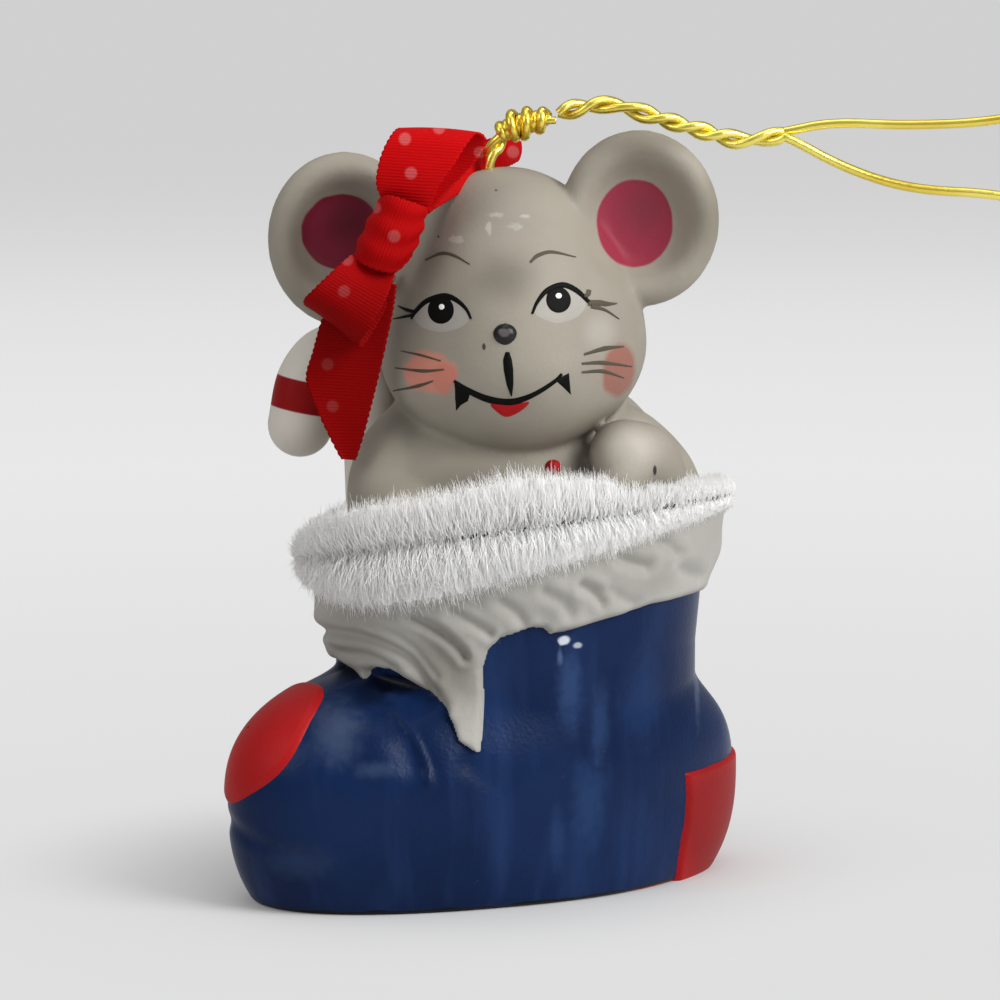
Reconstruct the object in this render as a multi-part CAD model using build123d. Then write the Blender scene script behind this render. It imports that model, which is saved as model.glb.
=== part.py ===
from build123d import *
import math
import os

os.makedirs("parts", exist_ok=True)

# Driving dimensions, millimetres and degrees. The origin is the centre of the sole, on the
# surface it stands on. +Z is up, the mouse looks along -Y, and X runs to its left.

# Boot
BOOT_LENGTH = 53.0
BOOT_WIDTH = 27.0
BOOT_YAW = 30.0
FOOT_HEIGHT = 22.5
FOOT_BELLY = 9.5
FOOT_FULLNESS = 2.5
SOLE_INSET = 2.6
LEG_LENGTH = 36.4
LEG_WIDTH = 26.4
LEG_SETBACK = 3.5
LEG_FLARE = 1.0
MOUTH_HEIGHT = 33.3
MOUTH_TILT = 8.3
MOUTH_PITCH = 6.0

# Cuff and patches
CUFF_HEIGHT = 8.2
CUFF_THICKNESS = 2.0
CUFF_EDGE = 0.9
LAP_THICKNESS = 1.1
LAP_DROP = 10.5
LAP_SPREAD = 15.0
PATCH_THICKNESS = 0.5
TOE_PATCH_DIAMETER = 13.4
TOE_PATCH_TURN = -2.0
TOE_PATCH_LIFT = 35.0
HEEL_PATCH_HEIGHT = 10.6
HEEL_PATCH_REACH = 11.0

# Mouse
TORSO_HEIGHT = 15.2
TORSO_SEAT = 1.3
TORSO_FULLNESS = 2.5
HEAD_WIDTH = 25.0
HEAD_CROWN = 16.7
HEAD_JAW = 9.8
HEAD_OVERLAP = 7.0
HEAD_SHIFT_X = -0.4
HEAD_SHIFT_Y = -3.2
HEAD_ROLL = 4.5
HEAD_YAW = 2.5
MUZZLE_DIAMETER = 13.0
MUZZLE_REACH = 1.4
NOSE_DIAMETER = 2.3
EAR_DIAMETER = 16.2
EAR_THICKNESS = 3.6
EAR_DISH = 1.9
EAR_RIM = 2.4
EAR_SPREAD = 14.3
EAR_RISE = 11.0
EAR_BACK = 1.0
EAR_OFFSET = -0.9
ARM_DIAMETER = 9.0
PAW_DIAMETER = 7.2
BUTTON_DIAMETER = 1.5

# Candy cane
CANE_DIAMETER = 6.0
CANE_BEND = 3.5
CANE_HEIGHT = 13.4
CANE_BACK = 4.6

# Chenille stem
PILE_HEIGHT = 10.0
PILE_DEPTH = 5.0
PILE_RAISE = 0.5
WIRE_DIAMETER = 1.0

# Ribbon bow
RIBBON_WIDTH = 6.4
RIBBON_THICKNESS = 0.4
UPPER_LOOP = 7.0
LOWER_LOOP = 4.2
LOOP_FOLD = 3.2
KNOT_LENGTH = 5.2
KNOT_THICKNESS = 2.4
FRONT_TAIL = 19.0
BACK_TAIL = 11.0
BOW_LEAN = 34.0
UPPER_TURN = 10.0
BOW_GAP = 3.7
GLUE_DIAMETER = 3.6

# Hanging cord
CORD_DIAMETER = 0.9
PAIR_DIAMETER = 1.8
CORD_HOLE = 2.6
CORD_OFFSET = -0.9
HOLE_DEPTH = 7.5
STEM_RISE = 3.0
STEM_LEAN = 26.0
TIE_LENGTH = 5.0
TIE_DIAMETER = 2.7
TIE_LEAN = 18.0
TWIST_ARCH = 1.4
TWIST_REACH = 6.8
LOOP_REACH = 33.0
LOOP_GAPE = 10.4
RUN_CLEARANCE = 0.3

# Frames
BOOT = Rot(0, 0, BOOT_YAW)
LEG_X = LEG_SETBACK * math.cos(math.radians(BOOT_YAW))
LEG_Y = LEG_SETBACK * math.sin(math.radians(BOOT_YAW))
MOUTH = Pos(LEG_X, LEG_Y, MOUTH_HEIGHT) * Rot(-MOUTH_PITCH, -MOUTH_TILT, 0) * BOOT
HEAD_X = LEG_X + HEAD_SHIFT_X
HEAD_Y = LEG_Y + HEAD_SHIFT_Y
HEAD_Z = MOUTH_HEIGHT + TORSO_HEIGHT - HEAD_OVERLAP + HEAD_JAW
HEAD = Pos(HEAD_X, HEAD_Y, HEAD_Z) * Rot(0, -HEAD_ROLL, -HEAD_YAW)
FAR = 4 * BOOT_LENGTH


def foot(grow):
    """Foot of the boot, level ovals that swell to the belly and close to a dome."""
    floor = max(-grow, 0)
    top = FOOT_HEIGHT + grow
    shrink = 1 - 2 * SOLE_INSET / BOOT_LENGTH
    below = FOOT_BELLY / (1 - shrink ** FOOT_FULLNESS) ** (1 / FOOT_FULLNESS)
    ovals = []
    for share in (0, 0.13, 0.3, 0.47, 0.64, 0.78, 0.89, 0.97):
        z = floor + share * (top - floor)
        span = below if z < FOOT_BELLY else top - FOOT_BELLY
        swell = (1 - abs((z - FOOT_BELLY) / span) ** FOOT_FULLNESS) ** (1 / FOOT_FULLNESS)
        half_length = (BOOT_LENGTH / 2 + grow) * swell
        half_width = (BOOT_WIDTH / 2 + grow) * swell
        ovals.append(BOOT * Pos(0, 0, z) * Ellipse(half_length, half_width))
    return loft(ovals)


def leg(grow, start, stop):
    """Oval leg from one height to another, a little wider at the top."""
    ovals = []
    for z in (start, stop):
        flare = LEG_FLARE * (z - FOOT_HEIGHT) / (MOUTH_HEIGHT - FOOT_HEIGHT)
        half_length = LEG_LENGTH / 2 + grow + max(flare, 0)
        half_width = LEG_WIDTH / 2 + grow + max(flare, 0)
        ovals.append(BOOT * Pos(LEG_SETBACK, 0, z) * Ellipse(half_length, half_width))
    return loft(ovals)


def above_mouth(raise_by):
    """Block that holds everything above the tilted mouth of the boot."""
    return MOUTH * Pos(0, 0, raise_by + FAR / 2) * Box(FAR, FAR, FAR)


def capsule(start, stop, radius_start, radius_stop):
    """Tapered round-ended bar between two points."""
    a, b = Vector(*start), Vector(*stop)
    length = (b - a).length
    tilt = math.asin((radius_start - radius_stop) / length)
    low = CenterArc((0, 0), radius_start, -90, 90 + math.degrees(tilt))
    high = CenterArc((0, length), radius_stop, math.degrees(tilt), 90 - math.degrees(tilt))
    side = Line(low @ 1, high @ 0)
    axis = Line(high @ 1, low @ 0)
    profile = Plane.XZ * make_face([low, side, high, axis])
    return Plane(origin=a, z_dir=b - a) * revolve(profile, Axis.Z)


def teardrop(length, radius_start, radius_stop, rise):
    """Flat teardrop outline from the origin along X, its far end lifted by rise."""
    tilt = math.degrees(math.asin((radius_stop - radius_start) / length))
    near = CenterArc((0, 0), radius_start, 90 + tilt, 180 - 2 * tilt)
    far = CenterArc((length, 0), radius_stop, -90 - tilt, 180 + 2 * tilt)
    outline = make_face([near, far, Line(near @ 1, far @ 0), Line(far @ 1, near @ 0)])
    return Rot(0, 0, math.degrees(math.atan2(rise, length))) * outline


def oval_ring(half_length, half_width):
    """Closed oval of four tangent arcs with the given half axes."""
    end = 0.72 * half_width
    reach = half_length - end
    side = (reach ** 2 + half_width ** 2 - end ** 2) / (2 * (half_width - end))
    turn = math.degrees(math.atan2(side - half_width, reach))
    right = CenterArc((reach, 0), end, -turn, 2 * turn)
    left = CenterArc((-reach, 0), end, 180 - turn, 2 * turn)
    front = CenterArc((0, side - half_width), side, 180 + turn, 180 - 2 * turn)
    back = CenterArc((0, half_width - side), side, turn, 180 - 2 * turn)
    return Wire([right, back, left, front])


def largest(shape):
    """The largest solid of a cut."""
    return max(shape.solids(), key=lambda s: s.volume)


# Boot, a solid casting cut off at the tilted mouth
foot_outer = foot(0)
leg_outer = leg(0, FOOT_BELLY, MOUTH_HEIGHT + CUFF_HEIGHT)
boot = foot_outer + (leg_outer - above_mouth(0))


def mouth_ring(section):
    """Section, drawn with X up and Y outward, carried round the mouth of the boot."""
    path = oval_ring(LEG_LENGTH / 2 + LEG_FLARE, LEG_WIDTH / 2 + LEG_FLARE)
    start = Plane(origin=path @ 0, z_dir=path % 0, x_dir=(0, 0, 1))
    return MOUTH * sweep(start * section, path)


def cuff_section():
    """Cuff in section: it swells below the mouth and closes on the leg at its lower edge."""
    depth = LEG_FLARE + 2 * CUFF_THICKNESS
    swell = ThreePointArc((0, CUFF_EDGE), (-CUFF_HEIGHT / 2, CUFF_THICKNESS), (-CUFF_HEIGHT, CUFF_EDGE))
    inside = Polyline((-CUFF_HEIGHT, CUFF_EDGE), (-CUFF_HEIGHT, -depth), (0, -depth), (0, CUFF_EDGE))
    return make_face([swell, inside])


def cuff_lap():
    """Pointed lap that hangs below the front of the cuff, close against the leg."""
    top = MOUTH_HEIGHT - CUFF_HEIGHT
    tip = (LEG_X - LAP_SPREAD / 4, top - LAP_DROP)
    right = (LEG_X - LAP_SPREAD / 16, top + CUFF_HEIGHT / 4)
    knee = (LEG_X - LAP_SPREAD * 0.46, top - LAP_DROP / 2)
    left = (LEG_X - LAP_SPREAD * 1.12, top - LAP_DROP / 4)
    high = (LEG_X - LAP_SPREAD * 1.12, top + CUFF_HEIGHT / 4)
    edges = [
        RadiusArc(right, tip, LAP_DROP * 2),
        RadiusArc(tip, knee, LAP_DROP * 2),
        RadiusArc(knee, left, -LAP_DROP * 2),
        Line(left, high),
        Line(high, right),
    ]
    blade = extrude(Plane.XZ * make_face(edges), BOOT_LENGTH)
    sheath = leg(LAP_THICKNESS, FOOT_BELLY, MOUTH_HEIGHT - CUFF_HEIGHT / 3)
    return sheath & blade


boot_cuff = largest(mouth_ring(cuff_section()) + cuff_lap() - leg_outer - foot_outer)

# Raised patches on the toe and the heel
patch_skin = foot(PATCH_THICKNESS) - boot
toe_centre = Pos(-BOOT_LENGTH / 4, 0, FOOT_BELLY) * Rot(0, 0, TOE_PATCH_TURN)
toe_punch = Rot(0, TOE_PATCH_LIFT - 90, 0) * Pos(0, 0, BOOT_LENGTH / 2)
toe_punch = BOOT * toe_centre * toe_punch * Cylinder(TOE_PATCH_DIAMETER / 2, BOOT_LENGTH)
toe_patch = largest((patch_skin & toe_punch) - boot_cuff)
heel_box = Box(2 * HEEL_PATCH_REACH, BOOT_LENGTH, HEEL_PATCH_HEIGHT)
heel_box = BOOT * Pos(BOOT_LENGTH / 2, 0, PATCH_THICKNESS + HEEL_PATCH_HEIGHT / 2) * heel_box
heel_patch = largest(patch_skin & heel_box)


def egg():
    """Head as an egg with its wide end down, about its own upright axis."""
    radius = HEAD_WIDTH / 2
    crown = scale(Sphere(1, arc_size1=0, align=None), by=(radius, radius, HEAD_CROWN))
    jaw = scale(Sphere(1, arc_size2=0, align=None), by=(radius, radius, HEAD_JAW))
    return crown + jaw


# Head with muzzle, drilled for the cord
MUZZLE_Y = -(HEAD_WIDTH / 2 + MUZZLE_REACH - MUZZLE_DIAMETER / 2)
MUZZLE_Z = -HEAD_JAW * 0.06
head_outer = HEAD * (egg() + Pos(0, MUZZLE_Y, MUZZLE_Z) * Sphere(MUZZLE_DIAMETER / 2))
crown_rise = HEAD_CROWN * math.sqrt(1 - (2 * CORD_OFFSET / HEAD_WIDTH) ** 2)
crown_top = (HEAD * Pos(CORD_OFFSET, 0, crown_rise)).position
cord_bore = Pos(crown_top.X, crown_top.Y, crown_top.Z) * Cylinder(CORD_HOLE / 2, 2 * HOLE_DEPTH)
mouse_head = head_outer - cord_bore


def dome():
    """Torso as a dome over the mouth of the boot."""
    ovals = []
    for share in (0, 0.25, 0.5, 0.72, 0.88, 0.97):
        swell = (1 - share ** TORSO_FULLNESS) ** (1 / TORSO_FULLNESS)
        half_length = (LEG_LENGTH / 2 - TORSO_SEAT) * swell
        half_width = (LEG_WIDTH / 2 - TORSO_SEAT) * swell
        ovals.append(MOUTH * Pos(0, 0, share * TORSO_HEIGHT) * Ellipse(half_length, half_width))
    return loft(ovals)


mouse_torso = largest(dome() - head_outer)

# Nose bead and chest button
NOSE_Z = MUZZLE_Z + MUZZLE_DIAMETER * 0.21
NOSE_Y = MUZZLE_Y - math.sqrt((MUZZLE_DIAMETER / 2) ** 2 - (NOSE_Z - MUZZLE_Z) ** 2)
nose = largest(HEAD * Pos(0, NOSE_Y, NOSE_Z) * Sphere(NOSE_DIAMETER / 2) - head_outer)


def ear(side):
    """Dished round ear beside the head, cut where it meets the head."""
    radius = EAR_DIAMETER / 2
    half = EAR_THICKNESS / 2
    back = ThreePointArc((0, -half), (radius * 0.72, -half * 0.72), (radius, 0))
    rim = ThreePointArc((radius, 0), (radius - EAR_RIM * 0.3, half * 0.72), (radius - EAR_RIM, half))
    dish = Spline((radius - EAR_RIM, half), (radius * 0.35, half - EAR_DISH * 0.9), (0, half - EAR_DISH))
    profile = make_face([back, rim, dish, Line((0, half - EAR_DISH), (0, -half))])
    plate = Rot(90, 0, 0) * revolve(Plane.XZ * profile, Axis.Z)
    return largest(HEAD * Pos(EAR_OFFSET + side * EAR_SPREAD, EAR_BACK, EAR_RISE) * plate - head_outer)


left_ear = ear(1)
right_ear = ear(-1)

# Arms from the shoulders to the mouth of the boot
shoulder_z = MOUTH_HEIGHT + TORSO_HEIGHT * 0.6
reach_x = LEG_LENGTH / 2
shoulder_y = LEG_Y - 0.1 * LEG_WIDTH


def arm_blank(shoulder, elbow, paw):
    """Upper arm and forearm, round-ended and tapered."""
    elbow_radius = 0.45 * (ARM_DIAMETER + PAW_DIAMETER) / 2
    upper = capsule(shoulder, elbow, ARM_DIAMETER / 2, elbow_radius)
    return upper + capsule(elbow, paw, elbow_radius, PAW_DIAMETER / 2)


left_blank = arm_blank(
    (LEG_X + 0.5 * reach_x, shoulder_y, shoulder_z),
    (LEG_X + 0.84 * reach_x, LEG_Y - 0.22 * LEG_WIDTH, MOUTH_HEIGHT + 0.62 * ARM_DIAMETER),
    (LEG_X + 0.58 * reach_x, LEG_Y - 0.4 * LEG_WIDTH, MOUTH_HEIGHT + PAW_DIAMETER),
)
right_blank = arm_blank(
    (LEG_X - 0.57 * reach_x, LEG_Y - 0.22 * LEG_WIDTH, shoulder_z),
    (LEG_X - 0.74 * reach_x, LEG_Y - 0.34 * LEG_WIDTH, MOUTH_HEIGHT + 0.55 * ARM_DIAMETER),
    (LEG_X - 0.58 * reach_x, LEG_Y - 0.46 * LEG_WIDTH, MOUTH_HEIGHT + 0.7 * PAW_DIAMETER),
)
left_arm = largest(left_blank - head_outer - dome() - boot_cuff - boot)
right_arm = largest(right_blank - head_outer - dome() - boot_cuff - boot)

# Chest button, set where the torso stands out in front
button_x = LEG_X + 0.18 * reach_x
button_z = MOUTH_HEIGHT + TORSO_HEIGHT * 0.52
chest_line = Pos(button_x, -FAR / 2, button_z) * Rot(90, 0, 0) * Cylinder(0.05, FAR)
chest_front = (chest_line & mouse_torso).bounding_box().min.Y
button = Pos(button_x, chest_front, button_z) * Sphere(BUTTON_DIAMETER / 2)
chest_button = largest(button - mouse_torso - head_outer)


def cane():
    """Candy cane, a stem on the torso and a hook that ends in a round nose."""
    radius = CANE_DIAMETER / 2
    base = MOUTH_HEIGHT
    bend_z = MOUTH_HEIGHT + CANE_HEIGHT
    stem_x = HEAD_X - HEAD_WIDTH / 2 - CANE_DIAMETER * 0.15
    tip_x = stem_x - 2 * CANE_BEND
    stem = Line((stem_x, base), (stem_x, bend_z))
    hook = CenterArc((stem_x - CANE_BEND, bend_z), CANE_BEND, 0, 180)
    drop = Line((tip_x, bend_z), (tip_x, bend_z - CANE_BEND))
    path = Plane.XZ * Wire([stem, hook, drop])
    rod = sweep(Pos(stem_x, 0, base) * Circle(radius), path)
    rod += Pos(tip_x, 0, bend_z - CANE_BEND) * Sphere(radius)
    return Pos(0, CANE_BACK, 0) * rod


cane_blank = cane() - head_outer - dome() - boot_cuff - boot
candy_cane = largest(cane_blank - right_ear - right_arm)


# Chenille stem round the mouth: a wire core near the front of the pile
wire_out = CUFF_EDGE + PILE_DEPTH / 2 - WIRE_DIAMETER
wire_section = Pos(PILE_RAISE, wire_out) * Circle(WIRE_DIAMETER / 2)
pile_oval = make_face(oval_ring(PILE_HEIGHT / 2, PILE_DEPTH / 2).edges())
pile_section = Pos(PILE_RAISE, CUFF_EDGE) * pile_oval
pile_section = max((pile_section - wire_section - cuff_section()).faces(), key=lambda f: f.area)
trim_wire = largest(mouth_ring(wire_section) - left_blank - right_blank)
trim_pile = largest(mouth_ring(pile_section) - left_blank - right_blank - cane())

# Ribbon bow on the front of the head, in a frame that leans with it
bow_side = -0.71 * HEAD_WIDTH / 2
bow_rise = 0.67 * HEAD_CROWN
head_there = HEAD_WIDTH / 2 * math.sqrt(1 - (bow_rise / HEAD_CROWN) ** 2)
bow_front = -math.sqrt((head_there + BOW_GAP) ** 2 - bow_side ** 2)
along = Vector(math.sin(math.radians(BOW_LEAN)), 0.33, math.cos(math.radians(BOW_LEAN)))
across = Vector(math.cos(math.radians(BOW_LEAN)), 0, -math.sin(math.radians(BOW_LEAN)))
bow_origin = (HEAD * Pos(bow_side, bow_front, bow_rise)).position
BOW = Plane(origin=bow_origin, x_dir=along, z_dir=across)
fold = LOOP_FOLD / 2
slim = RIBBON_THICKNESS * 1.4


def bow_loop(length, rise):
    """One loop of the bow, a teardrop band as wide as the ribbon."""
    outer = teardrop(length, slim, fold, rise)
    inner = teardrop(length, slim - RIBBON_THICKNESS, fold - RIBBON_THICKNESS, rise)
    start = KNOT_LENGTH / 2 + slim
    return Pos(start, 0, 0) * extrude(outer - inner, RIBBON_WIDTH / 2, both=True)


knot_section = RectangleRounded(KNOT_THICKNESS, RIBBON_WIDTH, 0.45 * KNOT_THICKNESS)
knot_block = extrude(Plane.YZ * knot_section, KNOT_LENGTH)
bow_knot = BOW * Pos(-KNOT_LENGTH / 2, 0, 0) * knot_block
upper_blank = BOW * Rot(0, UPPER_TURN, 0) * bow_loop(UPPER_LOOP, fold * 0.5)
lower_blank = BOW * Rot(0, 180, 0) * bow_loop(LOWER_LOOP, fold * 0.6)
bow_upper_loop = largest(upper_blank - bow_knot)
bow_lower_loop = largest(lower_blank - bow_knot)

# Tails: one hangs in front of the ear, one lies over the crown behind the cord
tail_y = -KNOT_THICKNESS / 2 - RIBBON_THICKNESS / 2
tail_top = BOW.from_local_coords(Vector(0, tail_y, 0))
tail_left = tail_top.X - 0.9 * RIBBON_WIDTH
tail_edges = Polyline(
    (tail_top.X - 0.6 * RIBBON_WIDTH, tail_top.Z),
    (tail_left, tail_top.Z - 0.6 * FRONT_TAIL),
    (tail_left + 0.6 * RIBBON_WIDTH, tail_top.Z - FRONT_TAIL),
    (tail_top.X + 0.5 * RIBBON_WIDTH, tail_top.Z - 0.2 * FRONT_TAIL),
    (tail_top.X + 0.4 * RIBBON_WIDTH, tail_top.Z),
    close=True,
)
tail_plate = extrude(Plane.XZ * make_face(tail_edges), RIBBON_THICKNESS / 2, both=True)
front_blank = Pos(0, tail_top.Y, 0) * tail_plate
front_blank = front_blank - bow_knot - bow_lower_loop - bow_upper_loop
bow_front_tail = largest(front_blank - head_outer - right_arm)

tail_root = BOW.from_local_coords(Vector(0, tail_y, 0))
tail_crest = crown_top + Vector(-0.42 * BACK_TAIL, 0.17 * BACK_TAIL, 0.05 * BACK_TAIL)
tail_end = crown_top + Vector(0.3 * BACK_TAIL, 0.72 * BACK_TAIL, 0.12 * BACK_TAIL)
back_path = FilletPolyline(tail_root, tail_crest, tail_end, radius=0.3 * BACK_TAIL)
back_flat = (tail_crest - tail_root).cross(tail_end - tail_crest)
back_start = Plane(origin=back_path @ 0, x_dir=back_flat, z_dir=back_path % 0)
back_strip = sweep(back_start * Rectangle(RIBBON_WIDTH, RIBBON_THICKNESS), back_path)
back_strip = back_strip - bow_knot - bow_upper_loop - bow_front_tail - head_outer - right_ear
bow_back_tail = largest(back_strip)

# Glue dab between the back of the front tail and the head, below the knot
tail_back = tail_top.Y + RIBBON_THICKNESS / 2
glue_start = (tail_top.X, tail_back, tail_top.Z - 0.5 * RIBBON_WIDTH)
glue_end = (HEAD_X, HEAD_Y, tail_top.Z - 0.5 * RIBBON_WIDTH)
glue_blank = capsule(glue_start, glue_end, GLUE_DIAMETER / 2, GLUE_DIAMETER / 2)
behind_tail = Pos(tail_top.X, tail_back + FAR / 2, tail_top.Z) * Box(FAR, FAR, FAR)
bow_glue = largest((glue_blank & behind_tail) - head_outer)


def cord_point(x, z):
    """Point in the upright plane of the cord."""
    return Vector(x, crown_top.Y, z)


def cord_tube(points, diameter):
    """Tube on straight runs through the points, joined by tangent arcs."""
    radii = []
    for a, b, c in zip(points, points[1:], points[2:]):
        run_in, run_out = b - a, c - b
        half_turn = math.radians(run_in.get_angle(run_out)) / 2
        radii.append(0.45 * min(run_in.length, run_out.length) / math.tan(half_turn))
    print("bend radii", [round(r, 1) for r in radii])
    path = FilletPolyline(*points, radius=radii)
    start = Plane(origin=path @ 0, z_dir=path % 0)
    tube = sweep(start * Circle(diameter / 2), path)
    print("length", round(path.length, 1), "volume", round(tube.volume, 2))
    return tube


def lean(start, degrees, length):
    """Point at a distance from start, leaning from upright towards +X."""
    turn = math.radians(degrees)
    return cord_point(start.X + length * math.sin(turn), start.Z + length * math.cos(turn))


# Knotted end at the bottom of the hole, both strands out of it, and the tie above
stopper_radius = CORD_HOLE / 2 - RUN_CLEARANCE / 2
stopper_z = crown_top.Z - HOLE_DEPTH + stopper_radius + RUN_CLEARANCE / 2
hanger_stopper = Pos(crown_top.X, crown_top.Y, stopper_z) * Sphere(stopper_radius)
stem_foot = cord_point(crown_top.X, stopper_z)
stem_bend = cord_point(crown_top.X, crown_top.Z + STEM_RISE / 4)
stem_head = lean(stem_bend, STEM_LEAN, STEM_RISE)
tie_turn = 90 - TIE_LEAN
tie_start = lean(stem_head, tie_turn, TIE_DIAMETER / 4)
tie_stop = lean(tie_start, tie_turn, TIE_LENGTH - TIE_DIAMETER)
hanger_knot = capsule(tie_start, tie_stop, TIE_DIAMETER / 2, TIE_DIAMETER / 2)
stem_tube = cord_tube([stem_foot, stem_bend, stem_head], PAIR_DIAMETER)
hanger_stem = largest(stem_tube - hanger_stopper - hanger_knot)

# Twisted pair from the swing point, over the ear
swing = lean(tie_stop, tie_turn, TIE_DIAMETER / 2 + PAIR_DIAMETER / 2 + RUN_CLEARANCE / 2)
ear_centre = (HEAD * Pos(EAR_OFFSET + EAR_SPREAD, EAR_BACK, EAR_RISE)).position
lift = EAR_DIAMETER / 2 + PAIR_DIAMETER / 2 + 1.5 * RUN_CLEARANCE
over_ear = lean(ear_centre, 0, lift)
past_ear = lean(ear_centre, 38, lift + RUN_CLEARANCE)
arch = cord_point((swing.X + over_ear.X) / 2, over_ear.Z + TWIST_ARCH)
dip = cord_point(past_ear.X + TWIST_REACH / 2, past_ear.Z - TWIST_REACH / 8)
split = cord_point(past_ear.X + TWIST_REACH, past_ear.Z)
twist_tube = cord_tube([swing, arch, over_ear, past_ear, dip, split], PAIR_DIAMETER)
hanger_twist = twist_tube + Pos(swing.X, swing.Y, swing.Z) * Sphere(PAIR_DIAMETER / 2)

# Open loop of one strand, out along the top and back underneath
half = LOOP_GAPE / 2
root = CORD_DIAMETER * 0.62
middle = split.Z - LOOP_GAPE / 5
loop_points = []
for share, height in (
    (0.13, 0.62),
    (0.34, 0.55),
    (0.6, 0.62),
    (0.83, 1),
    (1, 0.46),
    (1, -0.46),
    (0.83, -1),
    (0.6, -0.66),
    (0.36, -0.6),
    (0.17, -0.22),
):
    loop_points.append(cord_point(split.X + share * LOOP_REACH, middle + height * half))
loop_points.insert(0, cord_point(split.X, split.Z + root))
loop_points.append(cord_point(split.X, split.Z - root))
hanger_loop = cord_tube(loop_points, CORD_DIAMETER) - hanger_twist
print("turn axis", crown_top, "swing axis", swing)

for name, solid in (
    ("boot", boot),
    ("boot_cuff", boot_cuff),
    ("toe_patch", toe_patch),
    ("heel_patch", heel_patch),
    ("mouse_torso", mouse_torso),
    ("mouse_head", mouse_head),
    ("nose", nose),
    ("right_ear", right_ear),
    ("left_ear", left_ear),
    ("right_arm", right_arm),
    ("left_arm", left_arm),
    ("candy_cane", candy_cane),
    ("chest_button", chest_button),
    ("trim_wire", trim_wire),
    ("trim_pile", trim_pile),
    ("bow_upper_loop", bow_upper_loop),
    ("bow_lower_loop", bow_lower_loop),
    ("bow_knot", bow_knot),
    ("bow_front_tail", bow_front_tail),
    ("bow_back_tail", bow_back_tail),
    ("bow_glue", bow_glue),
    ("hanger_stopper", hanger_stopper),
    ("hanger_stem", hanger_stem),
    ("hanger_knot", hanger_knot),
    ("hanger_twist", hanger_twist),
    ("hanger_loop", hanger_loop),
):
    export_step(solid, f"parts/{name}.step")
    print(name, round(solid.volume, 2), solid.is_valid, len(solid.solids()))
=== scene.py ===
# %% [markdown]
# # A mouse in a boot
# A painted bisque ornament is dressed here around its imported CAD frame. The pieces could be
# sculpted by hand, but a sculpture can't be read or changed. Every surface is therefore worked out
# with numpy in millimetres, in the frame of the part: Z is up, the mouse looks along -Y.

# %% Load the frame
import bpy
import math
import numpy as np
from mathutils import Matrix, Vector


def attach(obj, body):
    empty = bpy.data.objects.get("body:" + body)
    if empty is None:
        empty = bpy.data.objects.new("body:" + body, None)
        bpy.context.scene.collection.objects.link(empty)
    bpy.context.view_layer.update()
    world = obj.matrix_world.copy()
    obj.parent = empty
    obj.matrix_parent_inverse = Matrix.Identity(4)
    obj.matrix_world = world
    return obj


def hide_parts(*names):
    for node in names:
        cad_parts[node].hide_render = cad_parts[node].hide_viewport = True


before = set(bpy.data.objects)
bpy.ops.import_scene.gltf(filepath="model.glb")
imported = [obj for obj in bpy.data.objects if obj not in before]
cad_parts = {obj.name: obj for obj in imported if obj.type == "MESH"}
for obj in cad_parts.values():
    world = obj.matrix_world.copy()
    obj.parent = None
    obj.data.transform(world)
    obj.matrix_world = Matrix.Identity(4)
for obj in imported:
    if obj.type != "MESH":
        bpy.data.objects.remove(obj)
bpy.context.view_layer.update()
MM = 0.001
print("nodes", len(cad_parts))

# %% [markdown]
# ## Camera and light
# The camera looks along +Y from a little above, far enough off for a long lens. The light is a
# strong soft box from the right, two weak ones from the left and above, and a pale world. One
# lamp would give the same main shadow, but the left side of the boot would go black.

# %% Camera and lamps
LOOK = np.array([1.4, 0.0, 36.5])
RANGE = 430.0
RISE = math.radians(7.0)
PX_PER_MM = 10.6


def camera():
    """Camera that frames 1000 pixels at PX_PER_MM on the plane through LOOK."""
    data = bpy.data.cameras.new("camera")
    data.sensor_width = 36.0
    data.lens = 36.0 * RANGE / (1000.0 / PX_PER_MM)
    data.clip_start, data.clip_end = 0.01, 20.0
    cam = bpy.data.objects.new("camera", data)
    back = Vector((0, -math.cos(RISE), math.sin(RISE)))
    cam.location = (Vector(LOOK) + back * RANGE) * MM
    cam.rotation_mode = "QUATERNION"
    cam.rotation_quaternion = (-back).to_track_quat("-Z", "Y")
    bpy.context.collection.objects.link(cam)
    bpy.context.scene.camera = cam


def lamp(name, place, aim, size, power):
    """Square soft box at a place, aimed at a point, all in millimetres."""
    data = bpy.data.lights.new(name, "AREA")
    data.shape, data.size, data.energy = "SQUARE", size * MM, power
    obj = bpy.data.objects.new(name, data)
    obj.location = Vector(place) * MM
    obj.rotation_mode = "QUATERNION"
    obj.rotation_quaternion = (Vector(aim) - Vector(place)).to_track_quat("-Z", "Y")
    bpy.context.collection.objects.link(obj)


camera()
lamp("key", (400, -260, 320), (0, 0, 35), 320, 3.0)
lamp("fill", (-330, -260, 300), (0, 0, 35), 260, 0.48)
lamp("top", (0, -20, 480), (0, 0, 30), 360, 0.6)
world = bpy.data.worlds.new("world")
bpy.context.scene.world = world
world.use_nodes = True
world.node_tree.nodes["Background"].inputs[0].default_value = (0.95, 0.95, 0.95, 1)
world.node_tree.nodes["Background"].inputs[1].default_value = 0.35
bpy.context.scene.view_settings.view_transform = "Standard"
print("camera and lamps ready")

# %% [markdown]
# ## Tools
# A grid of points becomes a mesh. Rows and columns can be closed on themselves, and the two grid
# parameters are kept as a UV map so that a material can follow the surface. Whole arrays go into
# the mesh at once, because a loop over points is slow in Python.

# %% Mesh tools


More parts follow.
